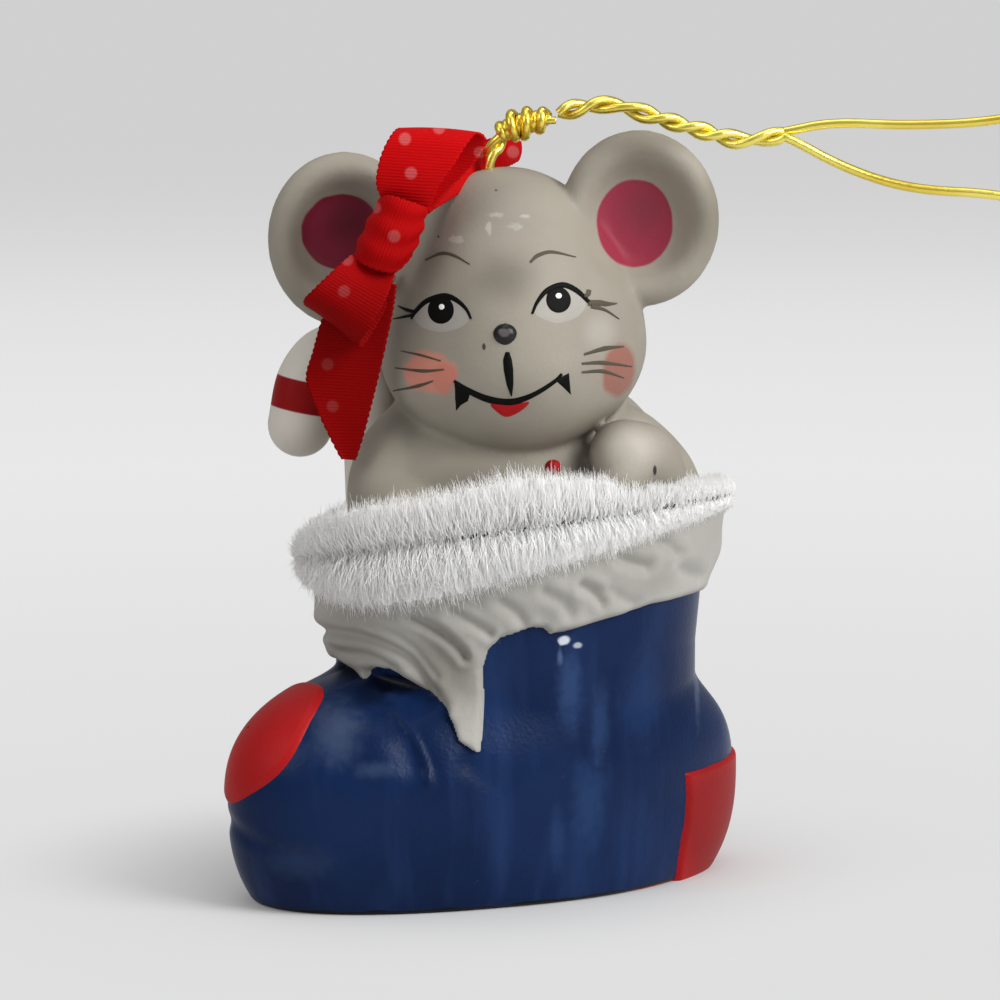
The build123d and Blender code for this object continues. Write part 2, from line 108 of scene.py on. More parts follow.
def grid_faces(nu, nv, close_u, close_v):
    """Quads of a grid of nu by nv points, as index rows."""
    u = np.arange(nu if close_u else nu - 1)
    v = np.arange(nv if close_v else nv - 1)
    a, b = np.meshgrid(u, v, indexing="ij")
    a2, b2 = (a + 1) % nu, (b + 1) % nv
    quads = np.stack([a * nv + b, a2 * nv + b, a2 * nv + b2, a * nv + b2], -1)
    return quads.reshape(-1, 4)


def mesh_object(name, points, quads, uv=None, smooth=True):
    """Mesh from points in millimetres and quad index rows, with a UV per point if given."""
    mesh = bpy.data.meshes.new(name)
    points = np.asarray(points, float).reshape(-1, 3)
    quads = np.asarray(quads, np.int32)
    mesh.vertices.add(len(points))
    mesh.vertices.foreach_set("co", (points * MM).ravel())
    mesh.loops.add(quads.size)
    mesh.loops.foreach_set("vertex_index", quads.ravel())
    mesh.polygons.add(len(quads))
    mesh.polygons.foreach_set("loop_start", np.arange(len(quads), dtype=np.int32) * quads.shape[1])
    mesh.polygons.foreach_set("use_smooth", np.full(len(quads), smooth))
    mesh.update(calc_edges=True)
    if uv is not None:
        layer = mesh.uv_layers.new(name="uv")
        layer.data.foreach_set("uv", np.asarray(uv, float).reshape(-1, 2)[quads.ravel()].ravel())
    mesh.validate()
    obj = bpy.data.objects.new(name, mesh)
    bpy.context.collection.objects.link(obj)
    return obj


def surface(name, grid, close_u=False, close_v=False, uv=None):
    """Object from a grid of points, shape (nu, nv, 3), in millimetres."""
    nu, nv = grid.shape[:2]
    return mesh_object(name, grid, grid_faces(nu, nv, close_u, close_v), uv)


print("mesh tools ready")

# %% [markdown]
# A few short formulas come back all through the work: turns, unit vectors, angles round a ring,
# rounded edges, smooth curves through points and the halving of an interval.

# %% Formulas


def turn(axis, degrees):
    """Rotation matrix about X, Y or Z."""
    c, s = math.cos(math.radians(degrees)), math.sin(math.radians(degrees))
    i = "XYZ".index(axis)
    m = np.eye(3)
    j, k = (i + 1) % 3, (i + 2) % 3
    m[j, j], m[j, k], m[k, j], m[k, k] = c, -s, s, c
    return m


def unit(v):
    """Vectors along the last axis, brought to length 1."""
    return v / np.linalg.norm(v, axis=-1)[..., None]


def circle(count):
    """Angles round a full turn, the last one step short of the first."""
    return np.linspace(0, 2 * np.pi, count, endpoint=False)


def run_along(points):
    """Distance from the first point along a line of points."""
    return np.r_[0, np.cumsum(np.linalg.norm(np.diff(points, axis=0), axis=1))]


def round_edge(inside, width):
    """Quarter-round rise from 0 at an edge to 1 at a width inside it."""
    return np.sqrt(np.clip(1 - (1 - np.clip(inside / width, 0, 1)) ** 2, 0, 1))


def cubic(p0, p1, p2, p3, f):
    """Smooth step from p1 to p2 by the share f, with p0 and p3 as the neighbours."""
    return 0.5 * (2 * p1 + (p2 - p0) * f + (2 * p0 - 5 * p1 + 4 * p2 - p3) * f ** 2
                  + (3 * p1 - p0 - 3 * p2 + p3) * f ** 3)


def halve(near, far, outside, steps):
    """Largest share known to lie outside a surface, by halving between one outside and one inside."""
    for _ in range(steps):
        middle = (near + far) / 2
        out = outside(middle)[..., None] > 0
        near, far = np.where(out, middle, near), np.where(out, far, middle)
    return near


def smooth_step(a, b, x):
    """0 below a, 1 above b, and a smooth rise between."""
    t = np.clip((x - a) / (b - a), 0, 1)
    return t * t * (3 - 2 * t)


def smooth_max(a, b, k):
    """Larger of two, rounded where they are within about k."""
    h = np.clip(0.5 + 0.5 * (a - b) / k, 0, 1)
    return b + (a - b) * h + k * h * (1 - h)


print("a quarter turn about Z takes X to", turn("Z", 90.0)[:, 0].round(3))

# %% [markdown]
# Every finished piece gets a material and a body to ride on, and names the CAD nodes it
# stands for.

# %% Finished pieces


def finish_piece(obj, body, material, slot, *nodes):
    """Gives a piece its material and body, and hides the CAD nodes it stands for; the slot is not used."""
    obj.data.materials.clear()
    obj.data.materials.append(material)
    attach(obj, body)
    if nodes:
        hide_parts(*nodes)
    print(obj.name, len(obj.data.polygons) if obj.type == "MESH" else "curve")
    return obj


print("pieces will be listed with their face counts")

# %% [markdown]
# ## Materials
# The castings are brushed with thin matt paint that shows its strokes and small flecks. A picture
# of paint could be wrapped round them, but it would stretch. Noise in object space doesn't, so one
# shared group gives every paint its flecks and its slow change of tone.

# %% Wear of the paint


def give(tree, socket, value):
    """Sets an input socket to a value, or joins it to another node's output socket."""
    if isinstance(value, bpy.types.NodeSocket):
        tree.links.new(value, socket)
    else:
        socket.default_value = value


def feed(tree, kind, inputs=(), out=0, **options):
    """New shader node with its options set and its inputs given, in order or by name; one output."""
    made = tree.nodes.new("ShaderNode" + kind)
    for key, value in options.items():
        setattr(made, key, value)
    for key, value in inputs.items() if isinstance(inputs, dict) else enumerate(inputs):
        give(tree, made.inputs[key], value)
    return made.outputs[out]


def new_group(name, vectors, numbers, results):
    """Empty node group, with its inputs as sockets and its results as sockets to fill."""
    group = bpy.data.node_groups.new(name, "ShaderNodeTree")
    kinds = (vectors, "Vector", "INPUT"), (numbers, "Float", "INPUT"), (results, "Float", "OUTPUT")
    for names, kind, way in kinds:
        for each in names:
            group.interface.new_socket(each, in_out=way, socket_type="NodeSocket" + kind)
    return group, group.nodes.new("NodeGroupInput").outputs, group.nodes.new("NodeGroupOutput").inputs


def paint_group():
    """Group: Tone, a slow change from 0 to 1, Fleck, a mask of small sparse spots, and a fine Grain."""
    scales = ("Tone Scale", "Fleck Scale", "Fleck Amount")
    group, given, result = new_group("paint_wear", (), scales, ("Tone", "Fleck", "Grain"))
    place = feed(group, "TexCoord", (), "Object")
    slow, fine, grain = (
        feed(group, "TexNoise", {"Vector": place, "Scale": scale, "Detail": detail}, "Fac")
        for scale, detail in ((given["Tone Scale"], 4.0), (given["Fleck Scale"], 2.0), (2600.0, 3.0))
    )
    edge = feed(group, "Math", (1.0, given["Fleck Amount"]), operation="SUBTRACT")
    fleck = feed(group, "MapRange", (fine, edge), interpolation_type="SMOOTHSTEP")
    for name, socket in (("Tone", slow), ("Fleck", fleck), ("Grain", grain)):
        give(group, result[name], socket)
    return group


PAINT = paint_group()
print(PAINT.name, len(PAINT.nodes), "nodes")

# %% [markdown]
# Blushes, scuffs, painted highlights and patches of painted shade are oval areas of paint with ragged
# edges. Each could be a film of its own, but soft edges need a blend. A second group masks an oval by
# its centre and half sizes, and only marks what faces the front.

# %% Painted ovals


def disc_group():
    """Group: Mask, a ragged oval on surfaces that face the front, by centre and half sizes."""
    group, given, result = new_group("disc_mask", ("Centre", "Size"), ("Soft", "Ragged", "Grain"), ("Mask",))
    place, normal = (feed(group, "TexCoord", (), name) for name in ("Object", "Normal"))
    away = feed(group, "VectorMath", (place, given["Centre"]), operation="SUBTRACT")
    ratio = feed(group, "VectorMath", (away, given["Size"]), operation="DIVIDE")
    flat = feed(group, "VectorMath", (ratio, (1, 0, 1)), operation="MULTIPLY")
    length = feed(group, "VectorMath", (flat,), "Value", operation="LENGTH")
    noise = feed(group, "TexNoise", {"Vector": place, "Scale": given["Grain"], "Detail": 3.0}, "Fac")
    shift = feed(group, "Math", (noise, 0.5), operation="SUBTRACT")
    edge = feed(group, "Math", (shift, given["Ragged"], length), operation="MULTIPLY_ADD")
    inner = feed(group, "Math", (1.0, given["Soft"]), operation="SUBTRACT")
    mask = feed(group, "MapRange", (edge, 1.0, inner), interpolation_type="SMOOTHSTEP")
    front = feed(group, "MapRange", (feed(group, "SeparateXYZ", (normal,), "Y"), 0.15, -0.2))
    give(group, result["Mask"], feed(group, "Math", (mask, front), operation="MULTIPLY"))
    return group


DISC = disc_group()
print(DISC.name, len(DISC.nodes), "nodes")

# %% [markdown]
# A paint mixes two tones, adds the flecks and the grain, and can take further colours on top.

# %% Paints


def overlay(mat, mask, colour):
    """Lays a colour over a material's own where a mask socket is 1."""
    tree = mat.node_tree
    target = tree.nodes["Principled BSDF"].inputs["Base Color"]
    own = target.links[0].from_socket
    give(tree, target, feed(tree, "Mix", {0: mask, 6: own, 7: (*colour, 1)}, 2, data_type="RGBA"))


def faded(mat, mask, strength):
    """A mask socket turned down by a strength."""
    return feed(mat.node_tree, "Math", (mask, strength), operation="MULTIPLY")


def paint(name, low, high, fleck, rough, specular):
    """Painted surface: two tones mixed slowly, sparse flecks of a third, and a faint grain."""
    mat = bpy.data.materials.new(name)
    mat.use_nodes = True
    tree = mat.node_tree
    wear = {"Tone Scale": 90.0, "Fleck Scale": 900.0, "Fleck Amount": 0.3}
    noisy = feed(tree, "Group", wear, node_tree=PAINT).node.outputs
    tone = feed(tree, "MapRange", (noisy["Tone"], 0.35, 0.65))
    mix = feed(tree, "Mix", {0: tone, 6: (*low, 1), 7: (*high, 1)}, 2, data_type="RGBA")
    spots = feed(tree, "Mix", {0: noisy["Fleck"], 6: mix, 7: (*fleck, 1)}, 2, data_type="RGBA")
    grain = feed(tree, "Bump", {"Strength": 0.15, "Distance": 0.0002, "Height": noisy["Grain"]})
    look = {"Base Color": spots, "Normal": grain, "Roughness": rough, "Specular IOR Level": specular}
    for key, value in look.items():
        give(tree, tree.nodes["Principled BSDF"].inputs[key], value)
    return mat


BLUE = paint("blue_paint", (0.0026, 0.011, 0.047), (0.0045, 0.017, 0.067), (0.06, 0.085, 0.15), 0.28, 0.1)
WHITE = paint("white_paint", (0.345, 0.335, 0.307), (0.4, 0.39, 0.362), (0.5, 0.49, 0.46), 0.6, 0.12)
RED = paint("red_paint", (0.33, 0.006, 0.007), (0.39, 0.008, 0.009), (0.45, 0.02, 0.02), 0.45, 0.12)
GREY = paint("grey_paint", (0.265, 0.24, 0.197), (0.31, 0.284, 0.235), (0.37, 0.345, 0.3), 0.5, 0.16)
BLACK = paint("black_paint", (0.003, 0.003, 0.003), (0.006, 0.0055, 0.005), (0.02, 0.02, 0.02), 0.5, 0.05)
OLIVE = paint("olive_paint", (0.07, 0.06, 0.042), (0.1, 0.085, 0.06), (0.15, 0.13, 0.1), 0.6, 0.1)
NOSE = paint("nose_paint", (0.004, 0.004, 0.004), (0.008, 0.007, 0.007), (0.02, 0.02, 0.02), 0.3, 0.3)
EYE_PAINT = paint("eye_paint", (0.33, 0.31, 0.28), (0.37, 0.35, 0.315), (0.42, 0.4, 0.37), 0.5, 0.16)
GLINT = paint("glint_paint", (0.85, 0.85, 0.84), (0.9, 0.9, 0.9), (0.9, 0.9, 0.9), 0.4, 0.2)
PILE = paint("pile", (0.95, 0.945, 0.935), (0.97, 0.965, 0.96), (0.98, 0.98, 0.98), 1.0, 0.0)
WIRE = paint("wire", (0.02, 0.02, 0.022), (0.06, 0.06, 0.062), (0.2, 0.2, 0.2), 0.4, 0.3)
RIBBON = paint("ribbon", (0.44, 0.002, 0.003), (0.52, 0.003, 0.004), (0.56, 0.012, 0.012), 0.55, 0.03)
GLUE = paint("glue", (0.3, 0.27, 0.22), (0.34, 0.31, 0.25), (0.4, 0.37, 0.3), 0.25, 0.3)
GOLD = paint("gold_cord", (0.82, 0.62, 0.09), (0.97, 0.84, 0.19), (1.0, 0.92, 0.45), 0.3, 0.5)
GOLD.node_tree.nodes["Principled BSDF"].inputs["Metallic"].default_value = 1.0
CANE = paint("cane_paint", (0.57, 0.53, 0.47), (0.63, 0.59, 0.53), (0.7, 0.67, 0.62), 0.4, 0.1)
print("materials", len(bpy.data.materials))

# %% [markdown]
# ## Rays from the camera
# What is painted on the object is drawn in the picture plane and carried along the camera's rays
# until it meets the surface, by halving the interval between a point outside and one inside.
# Blender's own ray cast needs a finished mesh, while this works on a formula.

# %% Rays
UP = np.array([0.0, math.sin(RISE), math.cos(RISE)])
EYE = LOOK + RANGE * np.array([0.0, -math.cos(RISE), math.sin(RISE)])
CLEAR_Y = -40.0


def picture(points):
    """Picture-plane millimetres from pixel positions, right and up of the image's centre."""
    points = np.asarray(points, float)
    return np.stack([points[..., 0] - 500.0, 500.0 - points[..., 1]], -1) / PX_PER_MM


def ray_aim(plane):
    """Way from the camera to picture-plane points."""
    return LOOK + plane[..., :1] * np.array([1.0, 0, 0]) + plane[..., 1:] * UP - EYE


def ray_hit(plane, outside, far_y):
    """Where rays through picture-plane points first meet a surface; outside(p) is above 0 outside."""
    aim = ray_aim(plane)
    near, far = ((y - EYE[1]) / aim[..., 1:2] for y in (CLEAR_Y, far_y))
    return EYE + halve(near, far, lambda t: outside(EYE + t * aim), 40) * aim


def to_picture(p):
    """Picture-plane millimetres of points in space."""
    rel = p - EYE
    ahead = (LOOK - EYE) / RANGE
    depth = rel @ ahead
    return np.stack([rel[..., 0], rel @ UP], -1) * (RANGE / depth)[..., None]


def at_depth(pixels, y):
    """Points in space seen at pixel positions, at given distances along Y."""
    aim = ray_aim(picture(pixels))
    return EYE + aim * ((np.asarray(y)[..., None] - EYE[1]) / aim[..., 1:2])


def disc(mat, x, y, wide, tall, depth, soft=0.1, ragged=0.1, grain=900.0):
    """Mask socket of a painted oval, by centre and half sizes in pixels and its distance along Y."""
    oval = {
        "Centre": at_depth([x, y], np.array(depth)) * MM,
        "Size": (wide / PX_PER_MM * MM, 1, tall / PX_PER_MM * MM),
        "Soft": soft, "Ragged": ragged, "Grain": grain,
    }
    return feed(mat.node_tree, "Group", oval, "Mask", node_tree=DISC)


def daub(mat, colour, much, *oval):
    """Paints an oval, given as for disc, over a material with a strength."""
    overlay(mat, faded(mat, disc(mat, *oval), much), colour)


print("camera stands at", EYE.round(1), "mm")

# %% [markdown]
# Outlines and lines are smooth curves through a few given points, and a surface asks how
# far it is from them.

# %% Drawn lines


def polyline_distance(p, line):
    """Distance from plane points to an open line of points."""
    best = np.full(p.shape[:-1], 1e9)
    for a, b in zip(line, line[1:]):
        d = b - a
        t = np.clip(((p - a) @ d) / (d @ d), 0, 1)
        best = np.minimum(best, np.linalg.norm(p - a - t[..., None] * d, axis=-1))
    return best


def edge_distance(p, loop):
    """Signed distance from plane points to a closed outline, positive inside."""
    a, b = loop, np.roll(loop, -1, 0)
    best = np.full(p.shape[:-1], 1e9)
    inside = np.zeros(p.shape[:-1], bool)
    for (ax, ay), (bx, by) in zip(a, b):
        dx, dy = bx - ax, by - ay
        t = np.clip(((p[..., 0] - ax) * dx + (p[..., 1] - ay) * dy) / (dx * dx + dy * dy), 0, 1)
        best = np.minimum(best, np.hypot(p[..., 0] - ax - t * dx, p[..., 1] - ay - t * dy))
        crosses = (ay > p[..., 1]) != (by > p[..., 1])
        at = ax + (p[..., 1] - ay) * dx / (dy if dy else 1e-9)
        inside ^= crosses & (p[..., 0] < at)
    return np.where(inside, best, -best)


def rounded(points, count=160):
    """Closed smooth outline through points, as a periodic cubic of equal steps."""
    pts = np.asarray(points, float)
    n = len(pts)
    t = np.arange(count) * n / count
    i = t.astype(int)
    f = (t - i)[:, None]
    return cubic(*(pts[(i + k) % n] for k in (-1, 0, 1, 2)), f)


def stroke_line(points, count=40):
    """Open smooth line through points, as an interpolating cubic of equal steps."""
    pts = np.asarray(points, float)
    pts = np.concatenate([2 * pts[:1] - pts[1:2], pts, 2 * pts[-1:] - pts[-2:-1]])
    t = np.linspace(0, len(pts) - 3 - 1e-9, count)
    i = t.astype(int)
    f = (t - i)[:, None]
    return cubic(*(pts[i + k] for k in range(4)), f)


print("a line through three points becomes", len(stroke_line([(0, 0), (1, 1), (2, 0)])), "points")


# %% [markdown]
# ## The hanging cord
# A gold foil cord: its two strands leave the tie twisted together, part, and close in a loop. A
# twist could be a texture on one thick rope, but the strands part, so each is wound round a smooth
# line through the route of the part, and both belong to one NURBS curve with a round bevel.

# %% Cord
PAIR_ROUTE = [
    (6.855, -1.411, 72.942), (11.006, -1.411, 74.17), (15.158, -1.411, 72.77),
    (21.16, -1.411, 71.003), (24.56, -1.411, 70.153), (27.96, -1.411, 71.003),
]
LOOP_ROUTE = [
    (32.25, -1.411, 72.147), (39.18, -1.411, 71.783), (47.76, -1.411, 72.147),
    (55.35, -1.411, 74.123), (60.96, -1.411, 71.315), (60.96, -1.411, 66.531),
    (55.35, -1.411, 63.723), (47.76, -1.411, 65.491), (39.84, -1.411, 65.803),
    (33.57, -1.411, 67.779),
]
STRAND = 0.9
TWIST_PITCH = 6.2


def nurbs(name, points, bevel=0.0):
    """Open NURBS curve of order 3 with the points, in millimetres, as control points."""
    data = bpy.data.curves.new(name, "CURVE")
    data.dimensions = "3D"
    data.resolution_u = 8
    data.bevel_depth = bevel * MM
    data.bevel_resolution = 3
    data.use_fill_caps = True
    spline = data.splines.new("NURBS")
    spline.points.add(len(points) - 1)
    spline.points.foreach_set("co", np.c_[np.asarray(points) * MM, np.ones(len(points))].ravel())
    spline.order_u = 3
    spline.use_endpoint_u = True
    obj = bpy.data.objects.new(name, data)
    bpy.context.collection.objects.link(obj)
    return obj


def line_of(points, count):
    """Evenly spaced points on the NURBS line of a route, and their directions."""
    guide = nurbs("guide", points)
    mesh = bpy.data.meshes.new_from_object(guide)
    p = np.empty(len(mesh.vertices) * 3)
    mesh.vertices.foreach_get("co", p)
    p = p.reshape(-1, 3) / MM
    bpy.data.objects.remove(guide)
    bpy.data.meshes.remove(mesh)
    run = run_along(p)
    even = np.linspace(0, run[-1], count)
    p = np.stack([np.interp(even, run, p[:, k]) for k in range(3)], -1)
    return p, unit(np.gradient(p, axis=0)), even


def cord_object():
    """One cord: out along the twisted pair, round the loop and back along the pair."""
    p, d, run = line_of(PAIR_ROUTE, 60)
    side = np.array([0.0, -1.0, 0.0])
    over = np.cross(d, side)
    grip = STRAND * 0.52 * (1 + 0.12 * np.sin(run * 0.9))
    turn_by = np.pi / 2 + run * 2 * np.pi / TWIST_PITCH + 0.35 * np.sin(run * 0.5)
    offset = (np.cos(turn_by)[:, None] * over + np.sin(turn_by)[:, None] * side) * grip[:, None]
    points = np.concatenate([p + offset, LOOP_ROUTE, (p - offset)[::-1]])
    obj = nurbs("hanging_cord", points, STRAND / 2)
    length = np.linalg.norm(np.diff(points, axis=0), axis=1).sum()
    print("cord", round(length, 1), "mm")
    return obj


cord = cord_object()
finish_piece(cord, "hanger", GOLD, "gold_cord", "hanger_twist", "hanger_loop")

# %% [markdown]
# Where the cord leaves the head it is tied. A true knot could be laid strand by strand, but little
# of it shows, so the tie is wound from tubes: two strands out of the hole, two coils round them, and
# two short ends that reach towards the twisted pair and stop where it can lift clear of them.

# %% Tie


def tube(points, radius, sides=12):
    """Grid of a round tube along points with one radius or one for each point."""
    p = np.asarray(points, float)
    d = unit(np.gradient(p, axis=0))
    ref = np.where(np.abs(d[:, 1:2]) > 0.85, [[1.0, 0, 0]], [[0, 1.0, 0]])
    n = unit(np.cross(d, ref))
    b = np.cross(d, n)
    a = circle(sides)
    ring = np.cos(a)[None, :, None] * n[:, None] + np.sin(a)[None, :, None] * b[:, None]
    return p[:, None] + ring * np.broadcast_to(radius, len(p))[:, None, None]


def joined(name, grids, close_v=True):
    """One object of several grids, each closed across its columns unless told not to."""
    points, quads, uvs, base = [], [], [], 0
    for g in grids:
        nu, nv = g.shape[:2]
        u, v = np.meshgrid(np.arange(nu) / (nu - 1), np.arange(nv) / nv, indexing="ij")
        points.append(g.reshape(-1, 3))
        uvs.append(np.stack([u, v], -1).reshape(-1, 2))
        quads.append(grid_faces(nu, nv, False, close_v) + base)
        base += nu * nv
    return mesh_object(name, np.concatenate(points), np.concatenate(quads), np.concatenate(uvs))


def capped(grid):
    """Tube grid with both ends drawn in to a point."""
    first, last = grid[:1].mean(1, keepdims=True), grid[-1:].mean(1, keepdims=True)
    return np.concatenate([0 * grid[:1] + first, grid, 0 * grid[-1:] + last])


TIE_Y = -1.41


def tie_object():
    """Two strands out of the hole and an overhand tie wound round them."""
    s = np.linspace(0, 1, 60)
    route = (0.43, 62.2), (0.43, 68.4), (0.95, 69.8), (1.9, 71.3)
    stem = stroke_line([(x, TIE_Y, z) for x, z in route], 60)
    wind = np.stack([np.cos(s * 5), np.sin(s * 5), 0 * s], -1) * 0.46
    grids = [capped(tube(stem + wind, 0.44)), capped(tube(stem - wind, 0.44))]
    route = (1.5, 70.9), (2.6, 71.7), (4.2, 72.1), (5.9, 72.6)
    axis = stroke_line([(x, TIE_Y, z) for x, z in route], 200)
    side = np.array([0, -1.0, 0])
    over = np.cross(unit(np.gradient(axis, axis=0)), side)
    s = np.linspace(0, 1, 200)
    a = 2 * np.pi * 3.6 * s + 0.8
    reach = 0.35 + 0.85 * np.sin(np.pi * s) ** 0.6
    for phase, share, radius in ((0.0, 1.0, 0.45), (np.pi, 0.55, 0.42)):
        b = a + phase
        coil = axis + (np.cos(b)[:, None] * over + np.sin(b)[:, None] * side) * (reach * share)[:, None]
        grids.append(capped(tube(coil, radius)))
    for y in (-1.86, -0.96):
        strand = stroke_line([(4.6, TIE_Y, 72.1), (5.7, y, 72.25), (6.6, y, 72.28)], 14)
        grids.append(capped(tube(strand, 0.34)))
    return joined("cord_tie", grids)


tie = tie_object()
finish_piece(tie, "hanger_tie", GOLD, "gold_cord", "hanger_knot", "hanger_stem", "hanger_stopper")

# %% [markdown]
# ## The boot
# A slip-cast boot with a full toe. It could be two solids joined by a boolean and a bevel, but the
# instep would keep a seam. Here it is a stack of level rings. On each ring the foot is one oval and
# the leg another, and the boot follows the larger of the two, rounded where they meet.

# %% Boot surface
YAW = turn("Z", 30.0)
RING = 2.0
FOOT_LONG, FOOT_WIDE = 53.0, 27.0
FOOT_FULL, FOOT_TOP = 9.5, 22.5
SOLE_INSET = 5.2
LEG_AT, LEG_LONG, LEG_WIDE = 3.5, 18.2, 13.2
FLARE_OVER = 10.8
BOOT_TOP = 33.0
SEAM = math.radians(60)
WRAP_RADIUS = 18.0


def oval_reach(cx, half_length, half_width, cos, sin):
    """Distance from the ring's centre along a direction to an oval centred at cx."""
    dx = RING - cx
    a = (cos / half_length) ** 2 + (sin / half_width) ** 2
    b = 2 * dx * cos / half_length ** 2
    c = (dx / half_length) ** 2 - 1
    under = b * b - 4 * a * c
    return np.where(under > 0, (-b + np.sqrt(np.maximum(under, 0))) / (2 * a), 0.0)


def boot_form(theta, z):
    """Distance from the upright ring axis to the plain boot at an angle and a height."""
    cos, sin = np.cos(theta), np.sin(theta)
    below = FOOT_FULL / (1 - (1 - SOLE_INSET / FOOT_LONG) ** 2.5) ** 0.4
    span = np.where(z < FOOT_FULL, below, FOOT_TOP - FOOT_FULL)
    swell = np.maximum(1 - np.abs((z - FOOT_FULL) / span) ** 2.5, 1e-6) ** 0.4
    swell = np.where(z > FOOT_TOP - 0.02, 1e-3, swell)
    foot = oval_reach(0.0, FOOT_LONG / 2 * swell, FOOT_WIDE / 2 * swell, cos, sin)
    flare = np.maximum((z - FOOT_TOP) / FLARE_OVER, 0)
    leg = oval_reach(LEG_AT, LEG_LONG + flare, LEG_WIDE + flare, cos, sin)
    leg = leg * (1 - 0.12 * smooth_step(12.0, 5.0, z))
    return smooth_max(foot, leg, 2.6)


def boot_place(theta, z, reach):
    """Points at an angle, height and distance from the ring axis, turned with the boot."""
    theta, z, reach = np.broadcast_arrays(theta, z, reach)
    local = np.stack([RING + reach * np.cos(theta), reach * np.sin(theta), z], -1)
    return local @ YAW.T


def boot_polar(p):
    """Angle, height and distance from the ring axis of points in space."""
    local = p @ YAW
    x, y = local[..., 0] - RING, local[..., 1]
    return np.arctan2(y, x), p[..., 2], np.hypot(x, y)


def unwrap(theta):
    """Angle counted from the back of the boot, so that the front lies in the middle."""
    return np.mod(theta - SEAM, 2 * np.pi)


def flat_place(p):
    """Points on the boot as round-the-boot millimetres and height."""
    theta, z, _ = boot_polar(p)
    return np.stack([unwrap(theta) * WRAP_RADIUS, z], -1)


def plain_outside(p):
    """Above 0 outside the plain boot."""
    theta, z, reach = boot_polar(p)
    return reach - boot_form(theta, z)


print("boot", FOOT_LONG, "by", FOOT_WIDE, "mm at its fullest")

# %% [markdown]
# The clay was modelled with soft folds at the ankle. A bump map would not change the outline, so
# each fold is a real ridge or valley: a line drawn in the picture, its width and its height.

# %% Boot with folds
FOLDS = [
    ([(338, 668), (352, 680), (372, 686), (398, 690), (424, 698)], 1.3, -0.8),
    ([(347, 684), (376, 695), (396, 715), (413, 738), (425, 764), (430, 785)], 0.3, 0.36),
    ([(356, 700), (382, 713), (400, 736), (412, 766)], 1.2, -0.6),
    ([(470, 765), (486, 778), (500, 786)], 1.2, -0.25),
    ([(224, 812), (240, 832), (268, 848), (300, 856)], 0.8, -0.3),
]
FOLD_LINES = [
    (flat_place(ray_hit(picture(stroke_line(pixels, 16)), plain_outside, 1.0)), width, height)
    for pixels, width, height in FOLDS
]


def boot_reach(theta, z):
    """The plain boot with its folds: each a ridge or a valley along a line."""
    theta, z = np.broadcast_arrays(theta, z)
    reach = boot_form(theta, z)
    flat = np.stack([unwrap(theta) * WRAP_RADIUS, z], -1)
    for line, width, height in FOLD_LINES:
        reach = reach + height * np.exp(-(polyline_distance(flat, line) / width) ** 2)
    return reach


def boot_outside(p):
    """Above 0 outside the boot."""
    theta, z, reach = boot_polar(p)
    return reach - boot_reach(theta, z)


def boot_object():
    """Boot wall from the rim of the sole to the mouth, the sole and a plain top."""
    theta = circle(520)
    z = np.concatenate([np.linspace(0, 0.5, 4), np.linspace(0.7, BOOT_TOP, 160)])
    reach = boot_reach(theta[None, :], z[:, None])
    ease = round_edge(z, 0.6)
    wall = boot_place(theta[None, :], z[:, None], reach - 0.5 * (1 - ease[:, None]))
    ring_in = np.linspace(0.02, 0.98, 8)[:, None]
    sole = boot_place(theta[None, :], 0 * ring_in, (reach[0] - 0.5) * ring_in)
    top = boot_place(theta[None, :], BOOT_TOP + 0 * ring_in, reach[-1] * ring_in[::-1])
    return surface("boot_shell", np.concatenate([sole, wall, top]), close_v=True)


boot = boot_object()
finish_piece(boot, "figurine", BLUE, "blue_paint", "boot")

# %% [markdown]
# The blue is brushed on: upright streaks of a lighter blue and dark chips beside the toe. Ovals add
# painted light: painted highlights on the leg, the instep and the toe, a painted rim highlight on the
# right, two bright spots under the cuff that are painted reflections of the lamps, and painted shade
# in the hollow of the ankle. A dark line runs where the boot meets what it stands on. The streaks are
# noise drawn out along Z, the dark line is all that lies below a ragged level, and the rest are
# ovals, which are easier to place than noise.

# %% Boot paint


def streaks(mat, scale, colour, strength):
    """Upright brush streaks: noise drawn out along Z."""
    tree = mat.node_tree
    place = feed(tree, "TexCoord", (), "Object")
    drawn = feed(tree, "Mapping", {"Vector": place, "Scale": (1.0, 1.0, 0.12)})
    noise = feed(tree, "TexNoise", {"Vector": drawn, "Scale": scale, "Detail": 4.0}, "Fac")
    overlay(mat, faded(mat, feed(tree, "MapRange", (noise, 0.5, 0.75)), strength), colour)


def base_line(mat, height, colour):
    """Dark line below a height, with a ragged upper edge."""
    tree = mat.node_tree
    place = feed(tree, "TexCoord", (), "Object")
    noise = feed(tree, "TexNoise", {"Vector": place, "Scale": 300.0, "Detail": 4.0}, "Fac")
    noisy = feed(tree, "Math", (noise, -2.2 * height, 2.1 * height), operation="MULTIPLY_ADD")
    level = feed(tree, "SeparateXYZ", (place,), "Z")
    overlay(mat, feed(tree, "Math", (level, noisy), operation="LESS_THAN"), colour)


# Lighter ovals are painted highlights and painted reflections of the lamps; near-black ones at the ankle are
# painted shade.
SHEEN, SHEEN_STREAK = (0.03, 0.065, 0.17), (0.022, 0.055, 0.15)
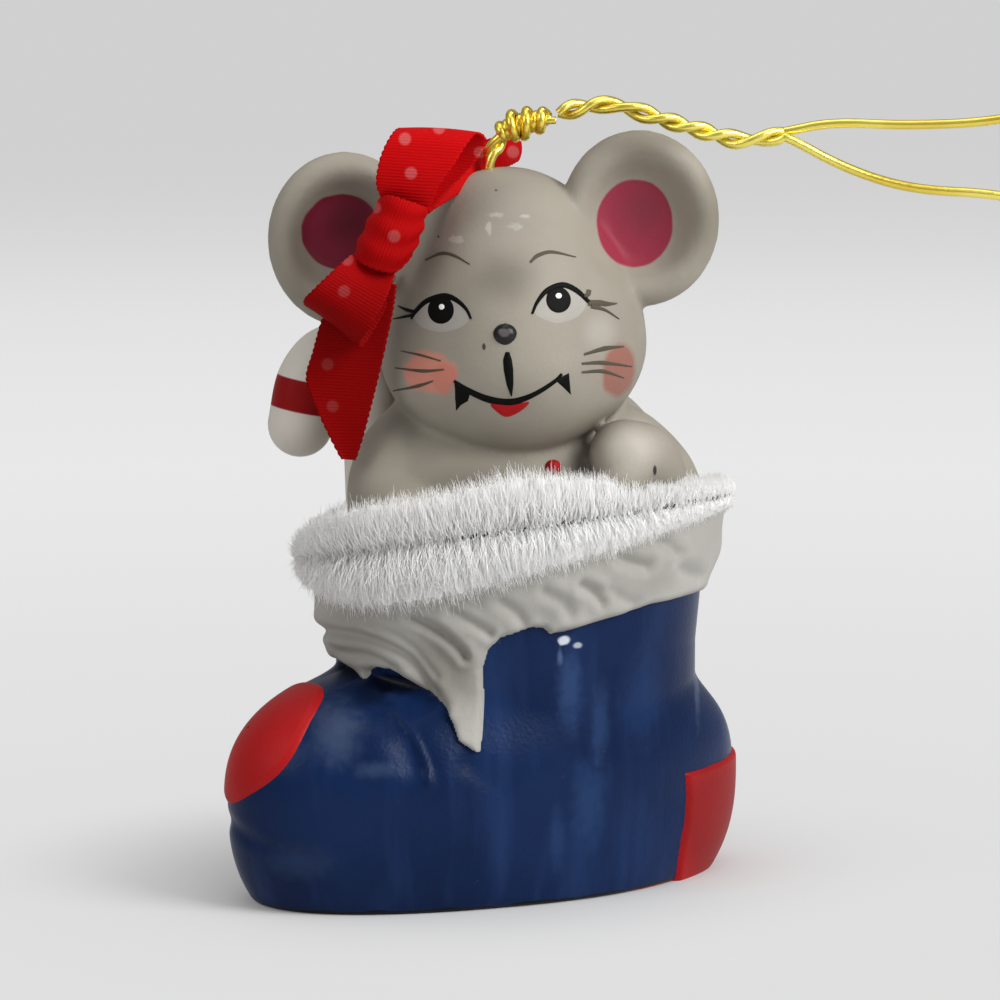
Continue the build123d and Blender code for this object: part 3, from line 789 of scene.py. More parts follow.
# Rows: centre and half sizes in pixels, distance along Y, softness, colour, strength.
BOOT_SPOTS = [
    (570, 690, 18, 62, -12, 0.9, SHEEN, 0.6), (600, 725, 14, 60, -10, 0.9, SHEEN, 0.4),
    (588, 805, 24, 62, -10, 0.9, SHEEN_STREAK, 0.5), (558, 840, 12, 44, -12, 0.9, SHEEN_STREAK, 0.4),
    (640, 700, 30, 70, -6, 0.9, (0.012, 0.035, 0.11), 0.5),
    (660, 886, 36, 5, 0, 0.7, (0.002, 0.003, 0.006), 0.9),
    (378, 768, 34, 12, -16, 0.9, (0.05, 0.08, 0.15), 0.4),
    (368, 700, 34, 14, -15, 0.9, (0.001, 0.003, 0.012), 0.7),
    (338, 735, 34, 40, -16, 0.9, (0.07, 0.1, 0.17), 0.45),
    (300, 860, 50, 26, -16, 0.9, (0.025, 0.045, 0.1), 0.4),
    (564, 642, 7, 6, -12, 0.5, (0.55, 0.58, 0.65), 1.0),
    (578, 648, 6, 4, -12, 0.6, (0.45, 0.49, 0.57), 0.8),
    (560, 658, 4, 12, -12, 0.9, (0.08, 0.12, 0.24), 0.7),
    (697, 665, 5, 70, 4, 0.9, (0.12, 0.15, 0.22), 0.45),
    (394, 688, 40, 12, -14, 0.6, (0.001, 0.002, 0.008), 0.95),
    (346, 680, 24, 12, -14, 0.7, (0.001, 0.002, 0.007), 0.95),
    (307, 695, 6, 3, -15, 0.4, (0.004, 0.003, 0.004), 1.0),
    (325, 668, 5, 3, -12, 0.4, (0.003, 0.004, 0.012), 0.9),
]
streaks(BLUE, 260.0, (0.014, 0.036, 0.115), 0.7)
for *oval, colour, much in BOOT_SPOTS:
    daub(BLUE, colour, much, *oval, 0.7)
base_line(BLUE, 0.0004, (0.004, 0.004, 0.006))
print("boot paint layers", len(BLUE.node_tree.nodes))

# %% [markdown]
# ## Raised patches and the cuff
# The toe and the heel carry raised red patches with rounded edges. They could be cut from a thicker
# copy of the boot, but the edge would be sharp. Each is a skin over the boot instead, whose height
# depends on how far a point lies inside an outline: a rough circle, or two lines and a level top.

# %% Skins on the boot


TOE_AXIS = turn("Z", -9.0) @ np.array([-0.843, 0.0, 0.537])
TOE_FROM = np.array([-13.25, 0.0, 9.5])
TOE_CLEAR = 30.0
PATCH_THICK = 0.42
PATCH_SUNK = 0.3


def toe_patch():
    """Round patch over the toe: a polar grid that is dropped on to the boot along its own axis."""
    side = unit(np.cross([0, 0, 1.0], TOE_AXIS))
    over = np.cross(TOE_AXIS, side)
    a = circle(200)[None, :]
    share = np.r_[np.linspace(0.02, 0.9, 40), np.linspace(0.91, 1.04, 30)][:, None]
    radius = 6.55 * (1 + 0.035 * np.cos(2 * a + 0.6) + 0.015 * np.cos(5 * a + 1.0))
    r = share * radius
    start = TOE_FROM + TOE_CLEAR * TOE_AXIS + (0.97 * r * np.cos(a))[..., None] * side
    start = start + (1.07 * r * np.sin(a))[..., None] * over
    near, far = np.zeros(r.shape + (1,)), np.full(r.shape + (1,), TOE_CLEAR)
    drop = halve(near, far, lambda t: boot_outside((start - t * TOE_AXIS) @ YAW.T), 36)
    d = radius - r
    rise = np.where(d > 0, PATCH_THICK * round_edge(d, 0.55), -PATCH_SUNK)
    return surface("toe_skin", (start - (drop - rise[..., None]) * TOE_AXIS) @ YAW.T, close_v=True)


def heel_patch():
    """Patch round the heel, bounded by an upright line on each side and a level top."""
    theta, z = np.meshgrid(np.linspace(-0.98, 0.98, 260), np.linspace(0.02, 11.6, 110), indexing="ij")
    reach = boot_reach(theta, z)
    along = RING + reach * np.cos(theta)
    front = np.minimum(along - 15.4 + 0.25 * np.sin(z * 0.6), 11.2 - z + 0.5 * np.sin(theta * 2.2))
    rise = np.where(front > 0, PATCH_THICK * round_edge(front, 0.5), -PATCH_SUNK)
    return surface("heel_skin", boot_place(theta, z, reach + rise))


daub(RED, (0.19, 0.004, 0.005), 0.8, 715, 810, 60, 90, 6.0, 0.6, 0.2)
finish_piece(toe_patch(), "figurine", RED, "red_paint", "toe_patch")
finish_piece(heel_patch(), "figurine", RED, "red_paint", "heel_patch")

# %% [markdown]
# The turned-down cuff ends in a lap that hangs to a point. A cloth simulation would drape it, but
# this is modelled clay. It is a skin on the leg as well: its lower edge is traced, and grooves are
# carved into it the same way as the folds of the boot.

# %% Cuff
MOUTH_TURN = turn("X", -6.0) @ turn("Y", -8.3) @ turn("Z", 30.0)
MOUTH_AT = np.array([3.031, 1.75, 33.3])
MOUTH_UP = MOUTH_TURN[:, 2]
LEG_LEVEL = 25.0
CUFF_DEEP = 8.3
CUFF_LOW = [
    (324, 641), (329, 651), (342, 659), (357, 671), (365, 679), (371, 670), (377, 667), (391, 669),
    (405, 676), (419, 684), (431, 691), (442, 704), (449, 711), (454, 724), (459, 741), (468, 747),
    (477, 753), (481, 751), (483, 727), (484, 698), (483, 667), (488, 650), (500, 638), (517, 632),
    (531, 627), (543, 628), (550, 634), (557, 632), (577, 627), (606, 618), (649, 604), (692, 592),
]
LAP_TIP = 16
CUFF_SHADE = [(0.65, 445, 670, 60, 75), (0.3, 350, 640, 60, 50)]
GROOVES = [
    ([(333, 629), (360, 632), (385, 639), (413, 656), (431, 680), (446, 705)], 0.5, 0.5),
    ([(419, 614), (445, 630), (462, 647), (467, 655)], 0.45, 0.65),
    ([(456, 609), (474, 621), (490, 632)], 0.45, 0.4),
    ([(345, 650), (372, 655), (400, 668)], 0.5, 0.3),
    ([(380, 622), (400, 631), (420, 647), (440, 675)], 0.4, 0.25),
    ([(574, 584), (585, 590), (595, 601)], 0.5, 0.45),
    ([(540, 590), (556, 600), (566, 612)], 0.6, 0.3),
    ([(606, 555), (620, 562), (634, 566)], 0.55, 0.45),
    ([(646, 540), (656, 546), (664, 553)], 0.55, 0.4),
    ([(600, 590), (615, 598), (628, 604)], 0.6, 0.25),
    ([(500, 600), (515, 612), (522, 622)], 0.6, 0.35),
    ([(660, 562), (675, 572), (690, 577)], 0.6, 0.25),
]


def below_mouth(p):
    """Depth of points under the tilted plane of the mouth."""
    return -(p - MOUTH_AT) @ MOUTH_UP


def cuff_object():
    """Cuff and its hanging lap: a skin on the leg inside one long outline, carved with folds."""
    low = flat_place(ray_hit(picture(CUFF_LOW), boot_outside, 1.0))
    back = np.linspace(0, 2 * np.pi, 90)
    point = boot_place(back + SEAM, LEG_LEVEL, boot_reach(back + SEAM, LEG_LEVEL + 0 * back))
    plane = LEG_LEVEL + below_mouth(point) / MOUTH_UP[2]
    rim = np.stack([back * WRAP_RADIUS, plane - CUFF_DEEP], -1)
    left, right = rim[rim[:, 0] < low[0, 0] - 2], rim[rim[:, 0] > low[-1, 0] + 2]
    line = np.concatenate([left, low, right])
    loop = np.concatenate([line, [[line[-1, 0] + 5, line[-1, 1]], [120, 60], [-5, 60], [-5, line[0, 1]]]])
    t = circle(620)
    angle = t + SEAM
    top = np.interp(t, back, plane)
    tip = low[LAP_TIP]
    near_lap = smooth_step(16.0, 9.0, np.abs(t * WRAP_RADIUS - tip[0] + 3.0))
    deep = (top - 9.8) * (1 - near_lap) + (tip[1] - 0.6) * near_lap
    rows = np.linspace(0, 1, 130)[:, None]
    z = top + (deep - top) * rows
    u = np.stack(np.broadcast_arrays(t * WRAP_RADIUS, z), -1)
    d = edge_distance(u, loop)
    depth = top - z
    rise = 0.85 * round_edge(d, 0.8)
    rise = rise + 0.75 * smooth_step(0.3, 4.5, d) * smooth_step(11.0, 6.5, depth)
    for pixels, width, deepest in GROOVES:
        line = flat_place(ray_hit(picture(stroke_line(pixels, 12)), boot_outside, 1.0))
        away = polyline_distance(u, line)
        rise = rise - deepest * np.exp(-(away / width) ** 2)
        rise = rise + 0.35 * deepest * np.exp(-((away - 2.2 * width) / (1.2 * width)) ** 2)
    swirl = np.sin(u[..., 0] * 0.9 + u[..., 1] * 0.7) + np.sin(u[..., 0] * 0.53 - u[..., 1] * 1.1 + 1.0)
    rise = rise + 0.07 * swirl
    rise = np.where(d > 0, np.maximum(rise, 0.05), -0.35)
    reach = boot_reach(angle, z) + rise
    wall = boot_place(angle, z, reach)
    lid = boot_place(angle[None], top[None], reach[:1] * np.linspace(0.7, 0.98, 4)[:, None])
    return surface("cuff_skin", np.concatenate([lid, wall])[::-1], close_v=True)


# Painted shade: the lap and the left of the cuff are darker under the pile.
for much, *oval in CUFF_SHADE:
    daub(WHITE, (0.16, 0.145, 0.125), much, *oval, -12, 0.9, 0.3)
finish_piece(cuff_object(), "figurine", WHITE, "white_paint", "boot_cuff")

# %% [markdown]
# ## The mouse
# The mouse was cast in parts that flow into each other. Metaballs would blend them too, but they
# lose their sizes. Here head, ears, body and arms are closed surfaces that are melted into one skin
# by a voxel remesh and then eased. The head is an egg with soft lumps for muzzle, cheeks and jaw.

# %% Mouse head
HEAD_AT = np.array([2.631, -1.45, 51.3])
HEAD_TURN = turn("Y", -4.5) @ turn("Z", -2.5)
HEAD_HALF, CROWN, JAW = 12.5, 16.7, 9.8
HEAD_BUMPS = [
    ((0.0, -1.0, -0.1), 0.42, 0.095),
    ((0.6, -0.72, -0.34), 0.44, 0.05),
    ((-0.6, -0.72, -0.34), 0.44, 0.05),
    ((0.45, -0.85, 0.27), 0.28, -0.018),
    ((-0.45, -0.85, 0.27), 0.28, -0.018),
    ((0.0, -0.93, -0.42), 0.16, -0.012),
    ((0.0, -0.62, -0.78), 0.6, 0.11),
    ((0.74, -0.34, 0.58), 0.34, -0.09),
    ((-0.74, -0.34, 0.58), 0.34, -0.09),
]


def sphere_directions(rows, columns):
    """Unit directions on a grid from the top to the bottom."""
    f, t = np.meshgrid(np.linspace(1e-3, np.pi - 1e-3, rows), circle(columns), indexing="ij")
    return np.stack([np.sin(f) * np.cos(t), np.sin(f) * np.sin(t), np.cos(f)], -1)


def head_swell(n):
    """Radial factor of the head for unit directions: soft lumps on an egg."""
    out = np.ones(n.shape[:-1])
    for at, width, height in HEAD_BUMPS:
        away = np.arccos(np.clip(n @ unit(np.asarray(at)), -1, 1))
        out = out + height * np.exp(-(away / width) ** 2)
    return out


def head_axes(n):
    """Half axes of the egg for directions, the crown taller than the jaw."""
    tall = np.where(n[..., 2] > 0, CROWN, JAW)
    return np.stack([HEAD_HALF + 0 * tall, HEAD_HALF + 0 * tall, tall], -1)


def head_outside(p):
    """Above 0 outside the head."""
    local = (p - HEAD_AT) @ HEAD_TURN
    egg = local / head_axes(local)
    size = np.linalg.norm(egg, axis=-1)
    return size - head_swell(egg / np.maximum(size, 1e-9)[..., None])


def head_grid():
    """Head: each direction goes out to the egg's surface times its swell."""
    n = sphere_directions(120, 180)
    return (n * head_axes(n) * head_swell(n)[..., None]) @ HEAD_TURN.T + HEAD_AT


print("head", 2 * HEAD_HALF, "mm wide before its lumps")

# %% [markdown]
# The ears are dished, so they turn a profile round an oval, as a lathe would. The torso is a dome on
# the mouth of the boot, and each limb is a tube with round ends, which is enough for what shows.

# %% Mouse body
EAR_UP, EAR_WIDE, EAR_TALL = 11.0, 0.92, 1.02
EAR_PROFILE = [
    (0.01, -2.2), (4.6, -2.1), (6.9, -1.3), (8.05, 0.1), (7.6, 1.35),
    (6.5, 1.8), (5.5, 1.2), (4.6, 0.1), (3.4, -0.7), (0.01, -1.0),
]
EARS = [(12.7, -0.8, 4.0), (-15.0, 1.0, 16.0)]
TORSO_LONG, TORSO_WIDE, TORSO_TALL = 16.9, 11.9, 15.2
MELT = 0.3


def ear_grid(x, y, turn_out):
    """Dished ear: a profile from the middle of its back, over the rim, to the middle of its dish."""
    profile = stroke_line(EAR_PROFILE, 70)
    a = circle(120)
    r, h = profile[:, :1], profile[:, 1:]
    local = np.stack(np.broadcast_arrays(r * np.cos(a) * EAR_WIDE, -h, r * np.sin(a) * EAR_TALL), -1)
    local = local @ turn("Z", turn_out).T + np.array([x, y, EAR_UP])
    return local @ HEAD_TURN.T + HEAD_AT


def torso_grid():
    """Torso: a full dome on the plane of the mouth, closed underneath."""
    s = np.linspace(0, 1, 50)
    swell = (np.maximum(1 - s ** 2.5, 0) ** 0.4)[:, None]
    a = circle(120)
    along, across = TORSO_LONG * swell * np.cos(a), TORSO_WIDE * swell * np.sin(a)
    dome = np.stack(np.broadcast_arrays(along, across, TORSO_TALL * s[:, None]), -1)
    base = dome[:1] * np.linspace(0.01, 1, 10)[:, None, None] - np.array([0, 0, 2.0])
    return np.concatenate([base, dome]) @ MOUTH_TURN.T + MOUTH_AT


def limb_grid(points, radii):
    """Round-ended limb through points with a radius at each."""
    line = stroke_line(points, 60)
    r = np.interp(np.linspace(0, 1, 60), np.linspace(0, 1, len(radii)), radii)
    body = tube(line, r, 40)
    ends = []
    for k, inner in ((0, 1), (-1, -2)):
        d = unit(line[k] - line[inner])
        f = np.linspace(0.12, np.pi / 2 - 0.02, 10)[:, None, None]
        ends.append(line[k] + (body[k] - line[k]) * np.cos(f) + d * r[k] * np.sin(f))
    return np.concatenate([ends[0][::-1], body, ends[1]])


LIMBS = [
    ([(10.2, 0.5, 42.8), (13.4, 0.0, 41.0), (16.0, 0.2, 38.4), (17.4, 1.2, 35.4)], (4.0, 4.1, 4.0, 3.6)),
    ([(15.6, -3.0, 39.0), (14.8, -6.0, 41.0), (12.9, -7.8, 41.7)], (3.3, 3.3, 3.3)),
    ([(13.0, -8.0, 41.0), (12.4, -8.6, 39.2)], (3.0, 2.6)),
    ([(15.2, -5.4, 40.8), (14.9, -5.8, 39.6)], (2.6, 2.2)),
    ([(-5.0, -1.6, 43.2), (-7.8, -4.4, 40.6), (-8.8, -6.6, 37.4), (-7.2, -9.0, 36.0)], (4.4, 4.3, 4.0, 3.6)),
]


def mouse_object():
    """The whole mouse as one skin."""
    grids = [head_grid(), *(ear_grid(*ear) for ear in EARS), torso_grid()]
    grids += [limb_grid(points, radii) for points, radii in LIMBS]
    obj = joined("mouse_skin", grids)
    melt = obj.modifiers.new("melt", "REMESH")
    melt.mode, melt.voxel_size, melt.use_smooth_shade = "VOXEL", MELT * MM, True
    ease = obj.modifiers.new("ease", "SMOOTH")
    ease.factor, ease.iterations = 0.5, 10
    return obj


mouse = mouse_object()
finish_piece(mouse, "figurine", GREY, "grey_paint", "mouse_head", "mouse_torso", "right_ear", "left_ear",
             "right_arm", "left_arm")

# %% [markdown]
# Pink in the ears, a blush on each cheek, a few scuffs and the slit between two fingers are
# painted areas: ovals with ragged edges in the space of the object, since they have no thickness.
# Ovals also paint light: lighter grey on the right cheek and the hand is painted light, and darker
# grey between the eyes, under the chin and on the left shoulder is painted shade, as is the darker
# pink of the left ear. The rim of the right ear is darker grey too.

# %% Ears and cheeks
SCUFF, SHADE = (0.52, 0.5, 0.46), (0.17, 0.15, 0.115)
# Rows: centre and half sizes in pixels, distance along Y, softness, raggedness, grain, colour, strength.
MOUSE_SPOTS = [
    (634.5, 222, 39, 44.5, -1.0, 0.06, 0.1, 300.0, (0.285, 0.03, 0.055), 1.0),
    (643, 212, 34, 36, -1.0, 0.8, 0.3, 300.0, (0.2, 0.03, 0.05), 0.7),
    (340, 233, 39, 40, -1.0, 0.06, 0.2, 300.0, (0.19, 0.014, 0.034), 1.0),
    (348, 222, 34, 32, -1.0, 0.8, 0.3, 300.0, (0.1, 0.009, 0.02), 0.8),
    (430, 373, 30, 25, -12.0, 0.35, 0.7, 500.0, (0.62, 0.22, 0.16), 0.85),
    (445, 378, 15, 20, -12.0, 0.4, 0.6, 500.0, (0.5, 0.16, 0.12), 0.5),
    (619, 370, 19.5, 31, -9.0, 0.3, 0.3, 500.0, (0.27, 0.095, 0.07), 0.85),
    (497, 214, 12, 3.5, -8.0, 0.5, 2.5, 900.0, SCUFF, 0.4),
    (513, 225, 9, 5, -8.0, 0.5, 2.5, 900.0, SCUFF, 0.38),
    (489, 229, 4, 8, -9.0, 0.5, 2.5, 900.0, SCUFF, 0.5),
    (524, 214, 6, 3, -7.0, 0.5, 2.0, 900.0, SCUFF, 0.5),
    (456, 239, 9, 4, -9.0, 0.5, 2.5, 900.0, (0.5, 0.48, 0.44), 0.5),
    (505, 278, 46, 36, -12.0, 0.95, 0.4, 300.0, (0.17, 0.15, 0.12), 0.75),
    (628, 450, 48, 36, -9.0, 0.8, 0.3, 300.0, (0.46, 0.425, 0.37), 0.9),
    (600, 330, 26, 26, -10.0, 0.9, 0.3, 300.0, (0.4, 0.37, 0.33), 0.6),
    (640, 140, 70, 22, 0.0, 0.9, 0.3, 300.0, SHADE, 0.7),
    (712, 215, 26, 70, 0.0, 0.9, 0.3, 300.0, SHADE, 0.6),
    (330, 460, 60, 70, -5.0, 0.9, 0.3, 300.0, (0.17, 0.145, 0.12), 0.6),
    (480, 480, 90, 22, -8.0, 0.9, 0.3, 300.0, (0.18, 0.155, 0.13), 0.6),
    (484, 346, 2.2, 4, -14.0, 0.4, 0.5, 900.0, (0.03, 0.025, 0.02), 0.9),
    (655, 471, 2.5, 7, -10.0, 0.5, 0.3, 900.0, (0.02, 0.017, 0.013), 0.95),
    (438, 238, 1.5, 1.5, -10.0, 0.5, 0.2, 900.0, (0.02, 0.02, 0.02), 0.9),
    (496, 189, 2.5, 1.5, -5.0, 0.5, 0.2, 900.0, (0.08, 0.07, 0.05), 0.8),
]
# Lighter ovals on the right cheek and hand are painted light; darker ones between the eyes, under the chin,
# on the left shoulder and the left ear's darker pink are painted shade.
for *oval, colour, much in MOUSE_SPOTS:
    daub(GREY, colour, much, *oval)
print("mouse paint layers", len(GREY.node_tree.nodes))

# %% [markdown]
# ## The painted face
# The eyes, the mouth and the whiskers are painted with a fine brush. Masks could draw them, but crisp
# curved strokes need many. They are drawn in the picture and laid on the head along the camera's
# rays, each a thin film with a crown, as a brush leaves it.

# %% Brush


def on_head(plane, lift):
    """Points on the head under picture-plane points, lifted along the outward direction."""
    hit = ray_hit(plane, head_outside, HEAD_AT[1])
    return hit + unit(hit - HEAD_AT) * lift[..., None]


def stroke(pixels, widths, lift, count=40):
    """Brush stroke through pixel positions with full widths in pixels at its points."""
    line = stroke_line(picture(pixels), count)
    half = np.interp(np.linspace(0, 1, count), np.linspace(0, 1, len(widths)), widths) / PX_PER_MM / 2
    d = unit(np.gradient(line, axis=0))
    v = np.linspace(-1, 1, 9)
    plane = line[:, None] + np.stack([-d[:, 1], d[:, 0]], -1)[:, None] * (half[:, None] * v)[..., None]
    return on_head(plane, np.broadcast_to(lift * (1.05 - v ** 2), plane.shape[:2]))[:, ::-1]


def spot(pixels, lift, rings=12, smooth=True):
    """Filled spot inside a closed outline of pixel positions."""
    loop = rounded(picture(pixels), 72) if smooth else picture(pixels)
    r = np.linspace(0.01, 1, rings)[:, None, None]
    plane = loop.mean(0) + (loop - loop.mean(0)) * r
    rise = np.broadcast_to(lift * (1.02 - np.linspace(0, 1, rings)[:, None] ** 6), plane.shape[:2])
    grid = on_head(plane, rise)
    return np.concatenate([grid, grid[:, :1]], 1)


def round_spot(x, y, rx, ry, lift):
    """Filled oval spot by centre and radii in pixels."""
    a = circle(24)
    return spot(np.stack([x + rx * np.cos(a), y - ry * np.sin(a)], -1), lift)


def film(name, grids, material, slot):
    """One painted film made of several strokes and spots."""
    return finish_piece(joined(name, grids, close_v=False), "figurine", material, slot)


print("strokes are drawn at", PX_PER_MM, "pixels to the millimetre")

# %% [markdown]
# Each stroke has its points, its widths and its lift over the skin. Spots are outlines, or a centre
# and two radii. Positions and widths are pixels of the picture.

# %% Face
EYE_WHITES = [
    [(414, 316), (424, 303), (441, 298), (458, 302), (470, 316), (461, 327), (441, 332), (422, 327)],
    [(534, 311), (543, 296), (560, 287), (576, 292), (586, 304), (577, 317), (559, 323), (543, 319)],
]
PUPILS = [(441, 310.5, 14.2, 14.6), (558.5, 300.5, 13.4, 13.6)]
GLINTS = [(442, 307, 3.3, 3.3), (558.5, 296, 3.6, 3.2)]
BLACK_STROKES = [
    ([(411, 319), (416, 311), (427, 301), (444, 296), (456, 300), (466, 309), (471, 319)],
     (2, 4.5, 5.5, 6, 5, 3.5, 2.5), 0.09),
    ([(532, 314), (538, 301), (548, 290), (563, 285), (577, 291), (589, 302)],
     (2.5, 4, 5.5, 6, 5.5, 4), 0.09),
    ([(415, 312), (407, 310), (398, 306)], (4, 3.5, 1.2), 0.09),
    ([(413, 315), (403, 317), (393, 319)], (3.5, 2.6, 1), 0.09),
    ([(507.5, 352), (507.5, 360), (508.5, 370), (510, 384), (511.5, 396)], (4, 9, 9.5, 7, 1.5), 0.1),
    ([(454, 381), (469, 391), (489, 399.5), (511, 402), (533, 395), (554, 382), (562, 374)],
     (3, 6, 7, 7, 5, 4, 3), 0.1),
]
MOUTH_CORNERS = [
    [(454, 380), (471, 391), (468, 401), (461, 405), (456, 411), (455, 398)],
    [(555, 380), (569, 373), (570, 384), (571, 395), (563, 387)],
]
OLIVE_STROKES = [
    ([(584, 297), (588, 294), (589, 290)], (4, 5, 5), 0.09),
    ([(588, 303), (600, 303), (607, 304), (617, 303.5)], (6, 6, 5, 1), 0.09),
    ([(591, 306), (605, 310), (619, 319)], (5, 3, 1), 0.09),
    ([(425, 260), (441, 253.5), (454, 255.5), (470, 264.5)], (1.5, 3.6, 3.2, 1.2), 0.06),
    ([(530, 262.5), (538, 255.5), (552, 252), (576, 257)], (2.6, 4, 3.4, 1.2), 0.06),
    ([(401, 351), (420, 355), (441, 361)], (1, 2.6, 1.6), 0.05),
    ([(395, 368), (423, 371), (444, 369.5)], (1.2, 3.6, 1.6), 0.05),
    ([(393, 391), (418, 386), (433, 381)], (1.2, 3.6, 1.6), 0.05),
    ([(584, 354.5), (605, 348.5), (624, 346.5)], (2.4, 5, 1.2), 0.05),
    ([(582, 363.7), (603, 362.8), (632, 366.6)], (2.4, 4.4, 1.2), 0.05),
    ([(582, 372.3), (603, 371.4), (624, 378)], (2.4, 4, 1.2), 0.05),
]
TONGUE = [(491, 404), (511, 405), (529, 402), (521, 411), (507, 417), (497, 412)]

film("eye_whites", [spot(loop, 0.03) for loop in EYE_WHITES], EYE_PAINT, "white_paint")
film("eye_pupils", [round_spot(*oval, 0.07) for oval in PUPILS], BLACK, "black_paint")
film("eye_glints", [round_spot(*oval, 0.11) for oval in GLINTS], GLINT, "white_paint")
corners = [spot(loop, 0.09, smooth=False) for loop in MOUTH_CORNERS]
film("face_lines", [stroke(*line) for line in BLACK_STROKES] + corners, BLACK, "black_paint")
film("whiskers", [stroke(*line) for line in OLIVE_STROKES], OLIVE, "black_paint")
film("tongue", [spot(TONGUE, 0.08)], RED, "red_paint")

# %% [markdown]
# The nose and the button on the chest are beads of clay. A plain sphere looks machined, so each has
# three radii, a slightly flattened top and a faint wave round it.

# %% Beads


def bead(name, at, radii, material, slot, *nodes):
    """Small rounded bead: a sphere with three radii and a slightly flattened top."""
    n = sphere_directions(40, 56)
    swell = 1 - 0.08 * np.clip(n[..., 2:], 0, 1) ** 2 + 0.03 * np.sin(3 * np.arctan2(n[..., 1:2], n[..., :1]))
    obj = surface(name, n * np.array(radii) * swell + np.array(at), close_v=True)
    return finish_piece(obj, "figurine", material, slot, *nodes)


# Painted highlight: a lighter grey oval in the middle of the black nose.
overlay(NOSE, disc(NOSE, 504, 333, 6.5, 5.5, -15.3, 0.5, 0.8), (0.1, 0.085, 0.09))
bead("nose_bead", (1.885, -14.5, 53.39), (1.15, 0.8, 1.12), NOSE, "black_paint", "nose")
bead("chest_bead", (6.3, -8.5, 40.6), (0.75, 0.6, 0.75), RED, "red_paint", "chest_button")

# %% [markdown]
# ## Candy cane
# A rod on the mouse's shoulder whose hooked end hangs behind the ear. A bevelled curve would have one
# thickness, but the end swells, so it is a tube with a radius for each point. Its red ring is a band
# of heights in the material.

# %% Cane
CANE_ROUTE = [
    (-10.6, 4.4, 36.0), (-10.8, 4.6, 42.0), (-10.9, 4.6, 46.4), (-12.4, 4.6, 49.6),
    (-15.0, 4.6, 50.0), (-16.9, 4.6, 47.4), (-17.6, 4.6, 43.2),
]
CANE_RADII = (2.7, 2.7, 2.7, 2.6, 2.6, 2.9, 3.1)


def cane_band(mat):
    """Mask of a ring round the hanging end, a little aslant: the height plus a fifth of the way across."""
    tree = mat.node_tree
    place = feed(tree, "TexCoord", (), "Object")
    x, z = (feed(tree, "SeparateXYZ", (place,), part) for part in "XZ")
    level = feed(tree, "Math", (x, 0.2, z), operation="MULTIPLY_ADD")
    off = feed(tree, "Math", (level, 0.0426), operation="SUBTRACT")
    near = feed(tree, "MapRange", (feed(tree, "Math", (off,), operation="ABSOLUTE"), 0.0016, 0.00148))
    side = feed(tree, "MapRange", (x, -0.0132, -0.0138))
    return feed(tree, "Math", (near, side), operation="MULTIPLY")


overlay(CANE, cane_band(CANE), (0.24, 0.004, 0.005))
cane = joined("cane_rod", [limb_grid(CANE_ROUTE, CANE_RADII)])
finish_piece(cane, "figurine", CANE, "white_paint", "candy_cane")

# %% [markdown]
# ## Chenille stem
# A twisted wire runs round the mouth of the boot. Thousands of thin fibres stand on it, combed up
# and down from the wire so that it shows in the parting, over a soft core. Hair would hide how
# a fibre is shaped, so the fibres are a mesh from a formula. The path is an oval of four arcs.

# %% Chenille path
MOUTH_LONG, MOUTH_WIDE = 19.2, 14.2
OVAL_END = 0.72 * MOUTH_WIDE
OVAL_REACH = MOUTH_LONG - OVAL_END
OVAL_SIDE = (OVAL_REACH ** 2 + MOUTH_WIDE ** 2 - OVAL_END ** 2) / (2 * (MOUTH_WIDE - OVAL_END))
OVAL_TURN = math.atan2(OVAL_SIDE - MOUTH_WIDE, OVAL_REACH)


def mouth_oval(share):
    """Points and outward directions on the four-arc oval of the mouth, by share of its length."""
    short, long = 2 * OVAL_TURN * OVAL_END, (np.pi - 2 * OVAL_TURN) * OVAL_SIDE
    ends = np.cumsum([0, short, long, short, long])
    run = np.mod(share, 1) * ends[-1]
    centre_x = np.array([OVAL_REACH, 0, -OVAL_REACH, 0])
    centre_y = np.array([0, MOUTH_WIDE - OVAL_SIDE, 0, OVAL_SIDE - MOUTH_WIDE])
    radius = np.array([OVAL_END, OVAL_SIDE, OVAL_END, OVAL_SIDE])
    start = np.array([-OVAL_TURN, OVAL_TURN, np.pi - OVAL_TURN, np.pi + OVAL_TURN])
    k = np.clip(np.searchsorted(ends, run, side="right") - 1, 0, 3)
    a = start[k] + (run - ends[k]) / radius[k]
    out = np.stack([np.cos(a), np.sin(a), 0 * a], -1)
    point = np.stack([centre_x[k], centre_y[k], 0 * a], -1) + radius[k][..., None] * out
    return point, out


def mouth_place(share, outward, upward):
    """Points beside the mouth's oval, out from it and up from its plane."""
    point, out = mouth_oval(share)
    local = point + out * np.asarray(outward)[..., None]
    local = local + np.asarray(upward)[..., None] * np.array([0, 0, 1.0])
    return local @ MOUTH_TURN.T + MOUTH_AT


print("mouth of the boot", 2 * MOUTH_LONG, "by", 2 * MOUTH_WIDE, "mm")

# %% [markdown]
# The wire is two strands. The core fills the pile, whose length above and below the wire is
# measured across the picture. Without a core the light would fall through the fibres.

# %% Wire and core
WIRE_OUT, WIRE_UP = 2.4, 0.5
WIRE_TURNS, WIRE_RADIUS = 50, 0.15
CORE_OUT, CORE_DEEP, CORE_TALL = 0.95, 1.9, 0.93
PILE_ACROSS = (-19.0, -18.4, -16.0, -11.5, -6.5, -2.5, 0.0, 3.2, 7.3, 9.7, 12.6, 17.9, 20.8)
PILE_ABOVE = (1.4, 2.4, 3.7, 4.2, 4.1, 4.5, 4.7, 4.8, 3.9, 3.7, 3.0, 2.4, 1.8)
PILE_BELOW = (1.4, 2.4, 4.4, 5.3, 5.3, 4.8, 4.5, 4.0, 3.6, 3.4, 2.8, 2.0, 1.4)


def pile_long(share, down):
    """Length of the pile above or below the wire: it thins towards the right-hand end."""
    at = mouth_place(share, 0 * share + WIRE_OUT, 0 * share + WIRE_UP)
    return np.interp(to_picture(at)[..., 0], PILE_ACROSS, PILE_BELOW if down else PILE_ABOVE)


